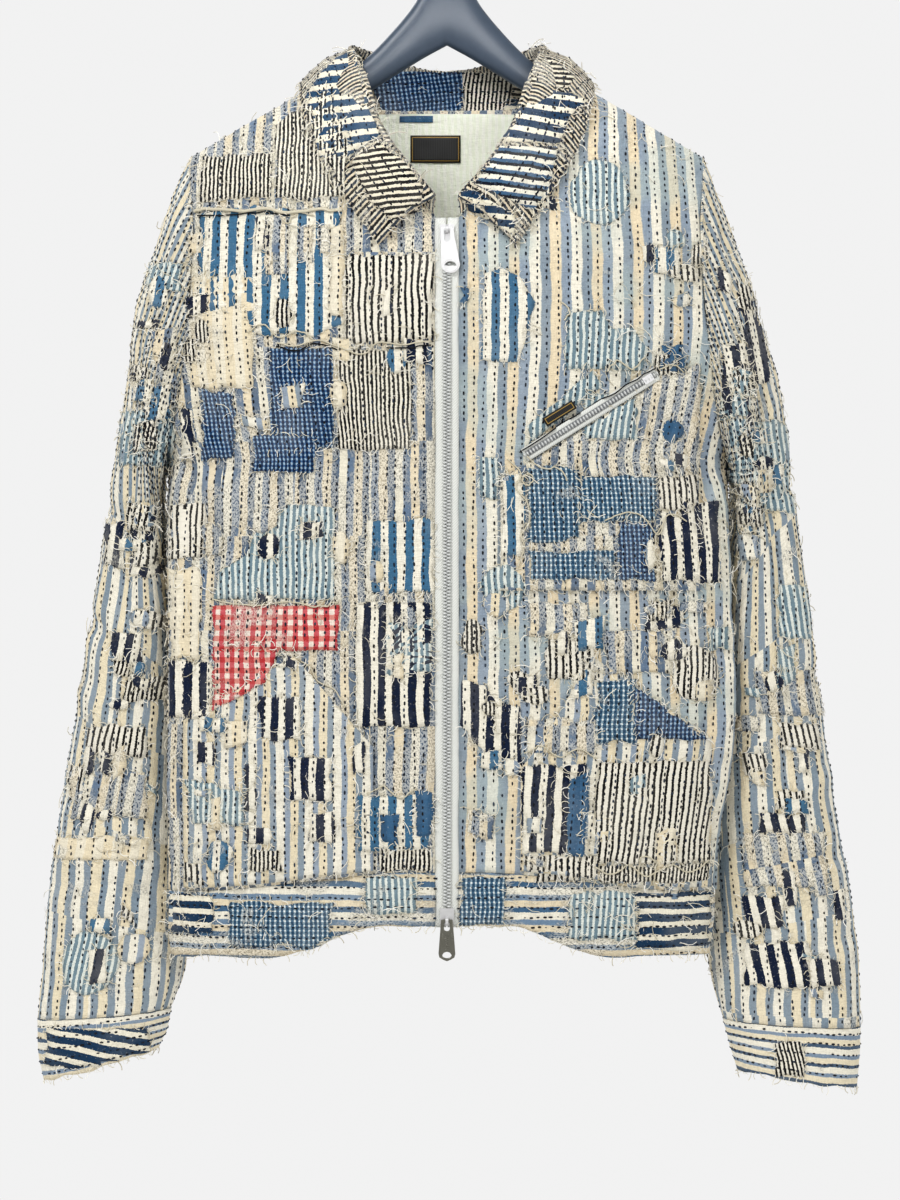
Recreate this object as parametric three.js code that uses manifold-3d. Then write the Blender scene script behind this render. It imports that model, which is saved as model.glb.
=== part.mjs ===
// Patched boro zip jacket hanging on a contoured hanger.
//
// Millimetres, +Z up. The jacket's front faces -Y and the wearer's left side is +X.
// The origin is the inside top of the hook, where a rail carries the hanger, so every
// height on the garment is given as a drop: the distance below that point.
//
// Every cloth piece is a wall: a grid of points on the garment's surface, moved out or in
// along its own normals, and closed round its rim.

import * as THREE from 'three';
import { mergeVertices } from 'three/addons/utils/BufferGeometryUtils.js';
import Module from 'manifold-3d';

const wasm = await Module();
wasm.setup();

// ---- driving dimensions ----

const CLOTH = 2.0;            // quilted layers of the body and sleeves
const TRIM = 1.2;             // zip tape, patches and pockets
const SEAM_GAP = 0.3;         // between neighbouring pieces
const LAY_GAP = 0.8;          // under a piece that lies on a curved panel

const NECK_DROP = 143;        // where the shoulder line meets the neck
const NECK_HALF = 88;         // half the neck's width there
const SHOULDER_SLOPE = 0.583; // fall of the shoulder line for each millimetre outwards
const SHOULDER_HALF = 196;    // shoulder tip, where the sleeve is set in
const SHOULDER_DROP = NECK_DROP + (SHOULDER_HALF - NECK_HALF) * SHOULDER_SLOPE;
const SHOULDER_ROUND = 62;    // height over which the body rounds into the shoulder line
const ARMPIT_DROP = 440;
const ARMPIT_HALF = 214;
const BODY_POWER = 2.6;       // superellipse power of the body's cross section
const TUCK_DEPTH = 28;        // how far in front of the side seam the body starts to turn in

const ZIP_TOP_DROP = 258;
const ZIP_HEM_DROP = 790;
const PANEL_EDGE = 9;         // front edges, either side of the zip
const CHAIN_HALF = 3.6;       // half the zip chain's width

const UPPER_ROWS = 8;         // grid rows from the shoulder down to the armpit
const LOWER_ROWS = 6;         // grid rows from the armpit down to the waistband
const PANEL_COLUMNS = 10;

const COLOURS = {
  stripe: 0xd8d0bd,
  stripeDark: 0xb9bfc6,
  worn: 0xcdbfa8,
  collar: 0xc3c4c2,
  denim: 0x49688c,
  check: 0x3b5f8c,
  pinstripe: 0x8f8d8a,
  lightBlue: 0xa9bccb,
  gingham: 0xd98f8b,
  lining: 0xb9bca8,
  tape: 0xe6e2d6,
  silver: 0xd9d9da,
  gunmetal: 0x55554f,
  label: 0x17161a,
  slate: 0x40464f,
  steel: 0xb0b3b8,
};

// ---- small helpers ----

const vec = (x, y, z) => new THREE.Vector3(x, y, z);

const mix = (a, b, t) => a + (b - a) * t;

const smooth = (t) => {
  const clamped = Math.min(Math.max(t, 0), 1);
  return clamped * clamped * (3 - 2 * clamped);
};

// A smooth function through [position, value] pairs, level beyond both ends.
function through(pairs) {
  const last = pairs.length - 1;
  const slope = (i) => {
    const before = pairs[Math.max(i - 1, 0)];
    const after = pairs[Math.min(i + 1, last)];
    return (after[1] - before[1]) / (after[0] - before[0]);
  };
  return (at) => {
    if (at <= pairs[0][0]) return pairs[0][1];
    if (at >= pairs[last][0]) return pairs[last][1];
    const next = pairs.findIndex((pair) => pair[0] > at);
    const [start, low] = pairs[next - 1];
    const [end, high] = pairs[next];
    const span = end - start;
    const t = (at - start) / span;
    const rise = t * t * (3 - 2 * t);
    const leave = t * (1 - t) * (1 - t) * span * slope(next - 1);
    const arrive = t * t * (t - 1) * span * slope(next);
    return low + (high - low) * rise + leave + arrive;
  };
}

const superellipse = (across, power) => {
  const inside = 1 - Math.min(Math.abs(across), 1) ** power;
  return inside ** (1 / power);
};

function material(colour, roughness = 0.85, metalness = 0) {
  return new THREE.MeshStandardMaterial({
    color: colour, roughness, metalness, side: THREE.DoubleSide,
  });
}

// ---- the body's surface ----

// Half the body's width at its widest, seen from the front; past the armhole it is the width
// that the section would have if it went on under the sleeve.
const ABOVE_ARMPIT = [[206, 226], [309, 232], [360, 230], [410, 221], [ARMPIT_DROP, ARMPIT_HALF]];
const frontHalf = {
  right: through([...ABOVE_ARMPIT, [460, 216], [545, 219], [697, 221], [815, 220]]),
  left: through([...ABOVE_ARMPIT, [460, 219], [545, 226], [621, 229], [682, 223], [735, 215], [803, 207]]),
};
// The side seam lies further in, because the sleeve hangs into the body's back corner.
const seamHalf = through([
  ...ABOVE_ARMPIT, [500, 211], [560, 207], [620, 205], [700, 203], [760, 201], [815, 198],
]);
const frontDepth = through([[150, 40], [206, 44], [300, 52], [440, 57], [600, 59], [740, 57], [815, 53]]);
const backDepth = through([[150, 36], [206, 40], [300, 48], [440, 52], [600, 52], [740, 50], [815, 44]]);
const armholeHalf = through([
  [SHOULDER_DROP, SHOULDER_HALF], [260, 193], [309, 194.5], [360, 199], [410, 206],
  [ARMPIT_DROP, ARMPIT_HALF],
]);

// The top edge of each panel: the neckline as far as the neck point, then the shoulder line.
const frontNeck = through([
  [PANEL_EDGE, ZIP_TOP_DROP], [20, 245], [38, 228], [58, 205], [74, 180], [84, 158], [NECK_HALF, NECK_DROP],
]);
const backNeck = through([[0, 164], [45, 164], [66, 160], [80, 151], [NECK_HALF, NECK_DROP]]);
const shoulderDrop = (x) => NECK_DROP + (x - NECK_HALF) * SHOULDER_SLOPE;

const frontBandTop = (x) => 749 + 16 * smooth((x - 20) / 180);
const frontHem = (x) => ZIP_HEM_DROP + 24 * smooth((x - 45) / 85);
const BACK_BAND_TOP = 755;
const BACK_HEM = 796;

// How much of its depth the body has a given way below the shoulder line.
function crown(x, drop) {
  const below = (drop - shoulderDrop(x)) / SHOULDER_ROUND;
  return below >= 1 ? 1 : superellipse(1 - Math.max(below, 0), 2.2);
}

const widthAt = (side, face, drop) => (face === 'front' ? frontHalf[side](drop) : seamHalf(drop));

const turnFor = (x, width) => Math.asin(Math.min(x / width, 1) ** (BODY_POWER / 2));

// A point of the body's outer surface. turn is 0 at the centre line and a quarter turn at the
// side seam.
function bodyPoint(side, face, turn, drop) {
  const width = widthAt(side, face, drop);
  const across = width * Math.sin(turn) ** (2 / BODY_POWER);
  const fullDepth = face === 'front' ? frontDepth(drop) : backDepth(drop);
  const depth = fullDepth * Math.max(Math.cos(turn), 0) ** (2 / BODY_POWER) * crown(across, drop);
  const tuck = smooth(1 - depth / TUCK_DEPTH);
  const x = across * (1 - tuck * (1 - seamHalf(drop) / width));
  return new THREE.Vector3(side === 'left' ? x : -x, face === 'front' ? -depth : depth, -drop);
}

function onBody(face, x, drop) {
  const side = x < 0 ? 'right' : 'left';
  return bodyPoint(side, face, turnFor(Math.abs(x), widthAt(side, face, drop)), drop);
}

// ---- walls ----

function geometryOf(coordinates, indices) {
  const geometry = new THREE.BufferGeometry();
  geometry.setAttribute('position', new THREE.Float32BufferAttribute(coordinates, 3));
  geometry.setIndex(indices);
  geometry.computeVertexNormals();
  return geometry;
}

// A closed body's geometry, with its triangles turned over if they would face inwards.
function facingOut(points, indices) {
  let volume = 0;
  for (let k = 0; k < indices.length; k += 3) {
    const [a, b, c] = [points[indices[k]], points[indices[k + 1]], points[indices[k + 2]]];
    volume += a.dot(b.clone().cross(c)) / 6;
  }
  if (volume < 0) indices.reverse();
  return geometryOf(points.flatMap((p) => [p.x, p.y, p.z]), indices);
}

// Normals of a grid of points, on the side that the flip sign picks.
function gridNormals(grid, flip, closed) {
  const rows = grid.length;
  const columns = grid[0].length;
  return grid.map((row, i) => row.map((_, j) => {
    const up = grid[Math.max(i - 1, 0)][j];
    const down = grid[Math.min(i + 1, rows - 1)][j];
    const before = closed ? row[(j - 1 + columns) % columns] : row[Math.max(j - 1, 0)];
    const after = closed ? row[(j + 1) % columns] : row[Math.min(j + 1, columns - 1)];
    const across = new THREE.Vector3().subVectors(after, before);
    const along = new THREE.Vector3().subVectors(down, up);
    return along.cross(across).normalize().multiplyScalar(flip);
  }));
}

// The closed skin between two grids of the same size: both faces and the rim between them.
function wallGeometry(outer, inner, closed) {
  const rows = outer.length;
  const columns = outer[0].length;
  const points = [...outer.flat(), ...inner.flat()];
  const at = (layer, i, j) => layer * rows * columns + i * columns + (j % columns);
  const indices = [];
  const quad = (a, b, c, d) => indices.push(a, b, c, a, c, d);
  const lastColumn = closed ? columns : columns - 1;
  for (let i = 0; i < rows - 1; i++) {
    for (let j = 0; j < lastColumn; j++) {
      quad(at(0, i, j), at(0, i + 1, j), at(0, i + 1, j + 1), at(0, i, j + 1));
      quad(at(1, i, j), at(1, i, j + 1), at(1, i + 1, j + 1), at(1, i + 1, j));
    }
  }
  const foot = rows - 1;
  for (let j = 0; j < lastColumn; j++) {
    quad(at(0, 0, j + 1), at(1, 0, j + 1), at(1, 0, j), at(0, 0, j));
    quad(at(0, foot, j), at(1, foot, j), at(1, foot, j + 1), at(0, foot, j + 1));
  }
  if (!closed) {
    const side = columns - 1;
    for (let i = 0; i < rows - 1; i++) {
      quad(at(0, i, 0), at(1, i, 0), at(1, i + 1, 0), at(0, i + 1, 0));
      quad(at(0, i + 1, side), at(1, i + 1, side), at(1, i, side), at(0, i, side));
    }
  }
  return facingOut(points, indices);
}

const offsetGrid = (grid, normals, distance) =>
  grid.map((row, i) => row.map((point, j) => point.clone().addScaledVector(normals[i][j], distance)));

// A wall whose outer face is lift above the grid and whose thickness lies below that.
function wall(grid, flip, { lift = 0, thickness = CLOTH, closed = false, keep = (point) => point } = {}) {
  const normals = gridNormals(grid, flip, closed);
  const outer = offsetGrid(grid, normals, lift).map((row) => row.map(keep));
  const inner = offsetGrid(grid, normals, lift - thickness).map((row) => row.map(keep));
  return wallGeometry(outer, inner, closed);
}

const group = new THREE.Group();

function addMesh(name, geometry, look) {
  const mesh = new THREE.Mesh(geometry, look);
  mesh.name = name;
  group.add(mesh);
  return mesh;
}

// ---- fronts and back ----

// Column fractions run from the centre line (or front edge) to the armhole and side seam.
function panelColumn(side, face, fraction, innerX, topOf, bottomOf) {
  const maxTurn = (drop) => {
    if (drop >= ARMPIT_DROP) return Math.PI / 2;
    return turnFor(armholeHalf(drop), widthAt(side, face, drop));
  };
  const turnAt = (drop) => mix(turnFor(innerX, widthAt(side, face, drop)), maxTurn(drop), fraction);
  let top = 200;
  for (let step = 0; step < 20; step++) {
    const across = widthAt(side, face, top) * Math.sin(turnAt(top)) ** (2 / BODY_POWER);
    top = mix(top, topOf(Math.min(across, SHOULDER_HALF)), 0.6);
  }
  const bottomPoint = bodyPoint(side, face, turnAt(ARMPIT_DROP), ARMPIT_DROP);
  const bottom = bottomOf(Math.abs(bottomPoint.x));
  const drops = [];
  for (let i = 0; i <= UPPER_ROWS; i++) drops.push(mix(top, ARMPIT_DROP, (i / UPPER_ROWS) ** 1.4));
  for (let i = 1; i <= LOWER_ROWS; i++) drops.push(mix(ARMPIT_DROP, bottom, i / LOWER_ROWS));
  return drops.map((drop) => bodyPoint(side, face, turnAt(drop), drop));
}

const transpose = (columns) => columns[0].map((_, i) => columns.map((column) => column[i]));

function panelColumns(side, face, innerX, topOf, bottomOf) {
  const columns = [];
  for (let j = 0; j <= PANEL_COLUMNS; j++) {
    columns.push(panelColumn(side, face, j / PANEL_COLUMNS, innerX, topOf, bottomOf));
  }
  return columns;
}

const neckOrShoulder = (neck) => (x) => (x < NECK_HALF ? neck(x) : shoulderDrop(x));

// Front and back meet in the plane Y = 0 along the shoulders and side seams.
const frontOfSeam = (point) => new THREE.Vector3(point.x, Math.min(point.y, -SEAM_GAP / 2), point.z);
const behindSeam = (point) => new THREE.Vector3(point.x, Math.max(point.y, SEAM_GAP / 2), point.z);

const frontColumns = {};
for (const side of ['right', 'left']) {
  frontColumns[side] = panelColumns(side, 'front', PANEL_EDGE, neckOrShoulder(frontNeck),
    (x) => frontBandTop(x) - SEAM_GAP);
  const flip = side === 'left' ? 1 : -1;
  addMesh(`front_${side}`, wall(transpose(frontColumns[side]), flip, { keep: frontOfSeam }),
    material(COLOURS.stripe));
}

const backColumns = {};
for (const side of ['right', 'left']) {
  backColumns[side] = panelColumns(side, 'back', 0, neckOrShoulder(backNeck),
    () => BACK_BAND_TOP - SEAM_GAP);
}
const backGrid = transpose([...backColumns.right.slice(1).reverse(), ...backColumns.left]);
addMesh('back', wall(backGrid, -1, { keep: behindSeam }), material(COLOURS.stripe));

// ---- waistband ----

const BAND_CLOTH = 2.6;
const BAND_ROWS = 3;

function bandGrid(face, sides, innerX, topOf, bottomOf, rows) {
  const columns = [];
  for (const side of sides) {
    const run = [];
    for (let j = 0; j <= PANEL_COLUMNS; j++) {
      const fraction = j / PANEL_COLUMNS;
      const turnOf = (drop) => mix(turnFor(innerX, widthAt(side, face, drop)), Math.PI / 2, fraction);
      const column = [];
      for (let i = 0; i <= rows; i++) {
        const rough = bodyPoint(side, face, turnOf(ARMPIT_DROP), ARMPIT_DROP);
        const drop = mix(topOf(Math.abs(rough.x)), bottomOf(Math.abs(rough.x)), i / rows);
        column.push(bodyPoint(side, face, turnOf(drop), drop));
      }
      run.push(column);
    }
    columns.push(...(side === 'right' && sides.length > 1 ? run.slice(1).reverse() : run));
  }
  return transpose(columns);
}

for (const side of ['right', 'left']) {
  const grid = bandGrid('front', [side], PANEL_EDGE, frontBandTop, frontHem, BAND_ROWS);
  const flip = side === 'left' ? 1 : -1;
  addMesh(`waistband_${side}`, wall(grid, flip, { thickness: BAND_CLOTH, keep: frontOfSeam }),
    material(COLOURS.stripeDark));
}
const backBand = bandGrid('back', ['right', 'left'], 0, () => BACK_BAND_TOP, () => BACK_HEM, BAND_ROWS);
addMesh('waistband_back', wall(backBand, -1, { thickness: BAND_CLOTH, keep: behindSeam }),
  material(COLOURS.stripeDark));

// ---- sleeves and cuffs ----

// Each ring of a sleeve: its outer point and its underarm point (distance from the centre
// line, drop), its half depth, and how far its middle lies behind the side seam.
const SLEEVE_RINGS = {
  right: [
    { outer: [205, 227], under: [216, 446], half: 39, back: 0 },
    { outer: [218, 262], under: [217.5, 453], half: 43, back: 2 },
    { outer: [230, 293], under: [218, 461], half: 46, back: 5 },
    { outer: [239, 327], under: [218, 471], half: 48, back: 9 },
    { outer: [244, 372], under: [217, 486], half: 49, back: 13 },
    { outer: [251, 420], under: [215, 508], half: 49, back: 18 },
    { outer: [259, 470], under: [212, 538], half: 48, back: 23 },
    { outer: [268, 530], under: [209, 580], half: 46, back: 26 },
    { outer: [279, 590], under: [206, 630], half: 43, back: 27 },
    { outer: [290, 650], under: [203, 685], half: 40, back: 27 },
    { outer: [299, 710], under: [201, 740], half: 37, back: 25 },
    { outer: [307, 770], under: [199, 792], half: 35, back: 20 },
    { outer: [312, 825], under: [203, 832], half: 33, back: 14 },
    { outer: [315, 866], under: [212, 858], half: 31, back: 9 },
  ],
  left: [
    { outer: [204, 227], under: [216, 446], half: 39, back: 0 },
    { outer: [217, 262], under: [217.5, 453], half: 43, back: 2 },
    { outer: [229, 293], under: [219, 461], half: 46, back: 5 },
    { outer: [240, 327], under: [220, 471], half: 48, back: 9 },
    { outer: [250, 372], under: [219, 486], half: 49, back: 13 },
    { outer: [259, 420], under: [217, 508], half: 49, back: 18 },
    { outer: [266, 470], under: [214, 538], half: 48, back: 23 },
    { outer: [276, 530], under: [211, 580], half: 46, back: 26 },
    { outer: [284, 590], under: [208, 630], half: 43, back: 27 },
    { outer: [293, 650], under: [205, 685], half: 40, back: 27 },
    { outer: [301, 710], under: [202, 740], half: 37, back: 25 },
    { outer: [311, 770], under: [199, 792], half: 35, back: 20 },
    { outer: [317, 825], under: [202, 832], half: 33, back: 14 },
    { outer: [318, 872], under: [212, 866], half: 31, back: 9 },
  ],
};
const CUFF_RINGS = {
  right: [
    { outer: [315, 866.5], under: [212, 858.5], half: 31, back: 9 },
    { outer: [314, 890], under: [215, 873], half: 30, back: 7 },
    { outer: [309, 913], under: [222, 888], half: 28, back: 5 },
  ],
  left: [
    { outer: [318, 872.5], under: [212, 866.5], half: 31, back: 9 },
    { outer: [317, 896], under: [217, 884], half: 30, back: 7 },
    { outer: [315, 918], under: [223, 904], half: 28, back: 5 },
  ],
};
const CUFF_CLOTH = 2.4;
const SLEEVE_POWER = 2.3;
const RINGS_TO_SETTLE = 4;    // rings over which the armhole's shape becomes an oval

// The armhole: the torso's edge from the shoulder tip down the front to the armpit, and back up.
// Each point is moved one seam gap away from the panel, in the panel's own surface.
function armholePoints(side) {
  const edgeOf = (columns) => {
    const edge = columns[PANEL_COLUMNS].slice(0, UPPER_ROWS + 1);
    const inner = columns[PANEL_COLUMNS - 1];
    return edge.map((point, i) => {
      const away = i === UPPER_ROWS
        ? new THREE.Vector3(0, 0, 1)
        : new THREE.Vector3().subVectors(point, inner[i]).normalize();
      return point.clone().addScaledVector(away, SEAM_GAP * 1.5);
    });
  };
  const front = edgeOf(frontColumns[side]);
  const back = edgeOf(backColumns[side]);
  front[0].y = 0;
  front[UPPER_ROWS].y = 0;
  return [...front, ...back.slice(1, UPPER_ROWS).reverse()];
}

// A ring of the sleeve, point for point round the armhole: down its front, up its back.
function sleeveRing(side, { outer, under, half, back }, settled, armhole) {
  const sign = side === 'left' ? 1 : -1;
  const count = 2 * UPPER_ROWS;
  const points = [];
  for (let a = 0; a < count; a++) {
    const step = a <= UPPER_ROWS ? a : count - a;
    const angle = Math.PI * step / UPPER_ROWS;
    const oval = (1 - Math.cos(angle)) / 2;
    const edge = (step / UPPER_ROWS) ** 1.4;
    const down = mix(edge, oval, settled);
    const depth = half * superellipse(Math.cos(angle), SLEEVE_POWER);
    const facing = a <= UPPER_ROWS ? -1 : 1;
    const bow = Math.abs(armhole[a].x) - mix(SHOULDER_HALF, ARMPIT_HALF, edge);
    const x = mix(outer[0], under[0], down) + bow * (1 - settled);
    const y = mix(armhole[a].y * half / 37, facing * depth, settled) + back;
    points.push(new THREE.Vector3(sign * x, y, -mix(outer[1], under[1], down)));
  }
  return points;
}

function sleeveGrid(side) {
  const armhole = armholePoints(side);
  const rings = SLEEVE_RINGS[side].map((ring, k) =>
    sleeveRing(side, ring, smooth((k + 1) / RINGS_TO_SETTLE), armhole));
  return [armhole, ...rings];
}

// The body's own normals along the armhole, in the order of armholePoints.
function armholeNormals(side) {
  const edgeOf = (columns, facing) => {
    const normals = gridNormals(transpose(columns), side === 'left' ? facing : -facing, false);
    return normals.slice(0, UPPER_ROWS + 1).map((row) => row[PANEL_COLUMNS]);
  };
  const front = edgeOf(frontColumns[side], 1);
  const back = edgeOf(backColumns[side], -1);
  return [...front, ...back.slice(1, UPPER_ROWS).reverse()];
}

// Where the sleeve falls away from the body like a roof, its first ring takes the body's own
// normals, so that the two walls meet square at the seam.
function sleeveWall(side) {
  const grid = sleeveGrid(side);
  const normals = gridNormals(grid, side === 'left' ? -1 : 1, true);
  armholeNormals(side).forEach((bodyNormal, a) => {
    const falls = bodyNormal.dot(new THREE.Vector3().subVectors(grid[1][a], grid[0][a])) < 0;
    if (falls) normals[0][a] = a === 0 ? vec(bodyNormal.x, 0, bodyNormal.z).normalize() : bodyNormal;
  });
  return wallGeometry(grid, offsetGrid(grid, normals, -CLOTH), true);
}

for (const side of ['right', 'left']) {
  addMesh(`sleeve_${side}`, sleeveWall(side), material(COLOURS.stripeDark));
  const cuff = CUFF_RINGS[side].map((ring) => sleeveRing(side, ring, 1, armholePoints(side)));
  const flip = side === 'left' ? -1 : 1;
  addMesh(`cuff_${side}`, wall(cuff, flip, { closed: true, thickness: CUFF_CLOTH }),
    material(COLOURS.stripe));
}

// ---- collar ----

const lifted = (face, x, drop, lift) => {
  const point = onBody(face, x, drop);
  const reach = 1;
  const beside = onBody(face, x + reach, drop);
  const below = onBody(face, x, drop + reach);
  const normal = new THREE.Vector3().subVectors(beside, point).cross(
    new THREE.Vector3().subVectors(below, point)).normalize();
  if (normal.y * (face === 'front' ? -1 : 1) < 0) normal.negate();
  return point.addScaledVector(normal, lift);
};

const LEAF_LIFT = 4.5;        // the leaf's outer face above the chest
const ROLL_LIFT = 9;          // the rolled fold above the chest

// Stations of the left half of the collar, from its front corner to the centre back: where it
// is sewn on, the top of its fold, and the edge of its leaf.
const COLLAR_STATIONS = [
  [lifted('front', 10, 255.5, 1), lifted('front', 9, 241, 5), lifted('front', 52, 280, LEAF_LIFT)],
  [lifted('front', 21, 243.2, 1), lifted('front', 21, 228, ROLL_LIFT), lifted('front', 61, 266, LEAF_LIFT)],
  [lifted('front', 38, 226.8, 1), lifted('front', 33, 213, ROLL_LIFT), lifted('front', 73, 248, LEAF_LIFT)],
  [lifted('front', 57, 204, 1), lifted('front', 46, 194, ROLL_LIFT), lifted('front', 86, 228, LEAF_LIFT)],
  [lifted('front', 72, 180.5, 1), vec(56, -44, -173), lifted('front', 97, 208, LEAF_LIFT)],
  [lifted('front', 81.5, 161, 1), vec(65, -26, -147), lifted('front', 105, 188, LEAF_LIFT + 1)],
  [lifted('front', 86, 150, 1), vec(71, -13, -130), lifted('front', 109, 171, LEAF_LIFT + 2)],
  [vec(NECK_HALF - 1.5, 0, -141.2), vec(74, 0, -120), vec(112, 3, -148)],
  [vec(80, 23, -149), vec(69, 24, -117), vec(108, 35, -166)],
  [vec(60, 35.5, -161), vec(51, 37, -121), lifted('back', 82, 182, 7)],
  [vec(30, 37.5, -163.2), vec(27, 42, -128), lifted('back', 43, 187, 9)],
  [vec(0, 37.5, -163.2), vec(0, 43, -132), lifted('back', 0, 188, 9)],
];

// One cross section of the collar: up the stand, over the roll, and down the leaf.
function collarSection([seam, fold, edge]) {
  const outward = vec(fold.x, fold.y, 0).normalize();
  const up = vec(0, 0, 1);
  const from = (base, out, rise) => base.clone().addScaledVector(outward, out).addScaledVector(up, rise);
  const between = (a, b, t) => a.clone().lerp(b, t);
  return [
    seam,
    from(between(seam, fold, 0.55), -1.5, 0),
    from(fold, -3.4, -3.5),
    from(fold, -1.7, -0.6),
    from(fold, 1.7, -0.6),
    from(fold, 3.4, -3.5),
    from(between(fold, edge, 0.4), 4.5, 1.5),
    from(between(fold, edge, 0.72), 2.5, 1),
    edge,
  ];
}

const mirrored = (section) => section.map((point) => vec(-point.x, point.y, point.z));
const leftSections = COLLAR_STATIONS.map(collarSection);
const collarGrid = [...leftSections, ...leftSections.slice(0, -1).reverse().map(mirrored)];
addMesh('collar', wall(collarGrid, 1), material(COLOURS.collar));

// ---- pieces that lie on the body ----

// A piece over the front from x0 to x1 between two drops, which may follow the piece's width.
function frontPiece([x0, x1], topOf, bottomOf, { lift, thickness = TRIM, columns = 6, rows = 4 }) {
  const grid = [];
  for (let i = 0; i <= rows; i++) {
    const row = [];
    for (let j = 0; j <= columns; j++) {
      const x = mix(x0, x1, j / columns);
      row.push(onBody('front', x, mix(topOf(x), bottomOf(x), i / rows)));
    }
    grid.push(row);
  }
  return wall(grid, 1, { lift, thickness });
}

const ON_PANEL = TRIM + LAY_GAP;
const level = (drop) => () => drop;

// Polyline height over x, for pocket tops cut straight.
const straight = (points) => (x) => {
  const next = Math.max(points.findIndex((point) => point[0] >= x), 1);
  const [[ax, ay], [bx, by]] = [points[next - 1], points[next]];
  return mix(ay, by, (x - ax) / (bx - ax));
};

// The chest pocket, closed by a slanting zip.
const CHEST_ZIP = { from: [58, 437], to: [157, 375], half: 5.2 };
const chestZipDrop = straight([[40, 448], CHEST_ZIP.from, CHEST_ZIP.to, [192, 364]]);
const CHEST_CLEAR = 7;        // from the zip's middle to the pocket's top edge
const CHEST_POCKET = { reach: [40, 190], bottom: 538 };
addMesh('chest_pocket',
  frontPiece(CHEST_POCKET.reach, (x) => chestZipDrop(x) + CHEST_CLEAR, level(CHEST_POCKET.bottom),
    { lift: ON_PANEL, columns: 12, rows: 4 }),
  material(COLOURS.worn));

// The hand pockets rise to a peak over the middle.
const HAND_POCKETS = {
  right: { reach: [-198, -55], top: [[-198, 636], [-114, 587], [-55, 655]], columns: 10 },
  left: { reach: [55, 200], top: [[55, 671], [72, 650], [108, 587], [200, 650]], columns: 12 },
};
const POCKET_CLEAR = 3;       // between the pockets' feet and the waistband
for (const side of ['right', 'left']) {
  const pocket = HAND_POCKETS[side];
  addMesh(`hand_pocket_${side}`,
    frontPiece(pocket.reach, straight(pocket.top), (x) => frontBandTop(Math.abs(x)) - POCKET_CLEAR,
      { lift: ON_PANEL, columns: pocket.columns, rows: 5 }),
    material(COLOURS.stripeDark));
}

// The largest sewn-on patches.
const PATCHES = [
  ['patch_pinstripe_right', [-82, -27], 358, 433, COLOURS.pinstripe],
  ['patch_check_right', [-133, -85], 356, 432, COLOURS.check],
  ['patch_light_blue_right', [-176, -84], 473, 545, COLOURS.lightBlue],
  ['patch_gingham_right', [-176, -81], 549, 583, COLOURS.gingham],
  ['patch_stripe_right', [-68, -12], 547, 640, COLOURS.denim],
  ['patch_light_blue_left', [88, 151], 325, 362, COLOURS.lightBlue],
  ['patch_stripe_left', [25, 67], 298, 366, COLOURS.denim],
];
for (const [name, reach, top, bottom, colour] of PATCHES) {
  addMesh(name, frontPiece(reach, level(top), level(bottom), { lift: ON_PANEL, columns: 4, rows: 3 }),
    material(colour));
}

// A strip or label on a slant: its middle, its length and width, and the turn of its length.
function slantedPiece(face, [x, drop], length, width, turn, { lift, thickness, columns = 2 }) {
  const grid = [];
  for (let i = 0; i <= 1; i++) {
    const row = [];
    for (let j = 0; j <= columns; j++) {
      const along = mix(-length / 2, length / 2, j / columns);
      const across = mix(-width / 2, width / 2, i);
      const px = x + along * Math.cos(turn) + across * Math.sin(turn);
      const pdrop = drop - along * Math.sin(turn) + across * Math.cos(turn);
      row.push(onBody(face, px, pdrop));
    }
    grid.push(row);
  }
  return wall(grid, face === 'front' ? 1 : -1, { lift, thickness });
}

const zipTurn = Math.atan2(CHEST_ZIP.from[1] - CHEST_ZIP.to[1], CHEST_ZIP.to[0] - CHEST_ZIP.from[0]);
const zipMiddle = [0, 1].map((k) => (CHEST_ZIP.from[k] + CHEST_ZIP.to[k]) / 2);
const zipLength = Math.hypot(CHEST_ZIP.to[0] - CHEST_ZIP.from[0], CHEST_ZIP.to[1] - CHEST_ZIP.from[1]);
addMesh('chest_zip',
  slantedPiece('front', zipMiddle, zipLength, 2 * CHEST_ZIP.half, zipTurn,
    { lift: ON_PANEL, thickness: TRIM, columns: 6 }),
  material(COLOURS.tape));
const CHEST_SLIDER = { length: 8, width: 5.6, front: ON_PANEL + 2.6, thickness: 2.2 };
const sliderMiddle = [
  CHEST_ZIP.to[0] - Math.cos(zipTurn) * CHEST_SLIDER.length,
  CHEST_ZIP.to[1] + Math.sin(zipTurn) * CHEST_SLIDER.length,
];
addMesh('chest_zip_slider',
  slantedPiece('front', sliderMiddle, CHEST_SLIDER.length, CHEST_SLIDER.width, zipTurn,
    { lift: CHEST_SLIDER.front, thickness: CHEST_SLIDER.thickness }),
  material(COLOURS.silver, 0.35, 0.7));
const POCKET_LABEL = { middle: [84, 405.5], length: 26, width: 7.2, thickness: 1 };
addMesh('pocket_label',
  slantedPiece('front', POCKET_LABEL.middle, POCKET_LABEL.length, POCKET_LABEL.width, zipTurn,
    { lift: ON_PANEL, thickness: POCKET_LABEL.thickness }),
  material(COLOURS.label));

// ---- inside the back neck ----

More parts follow.
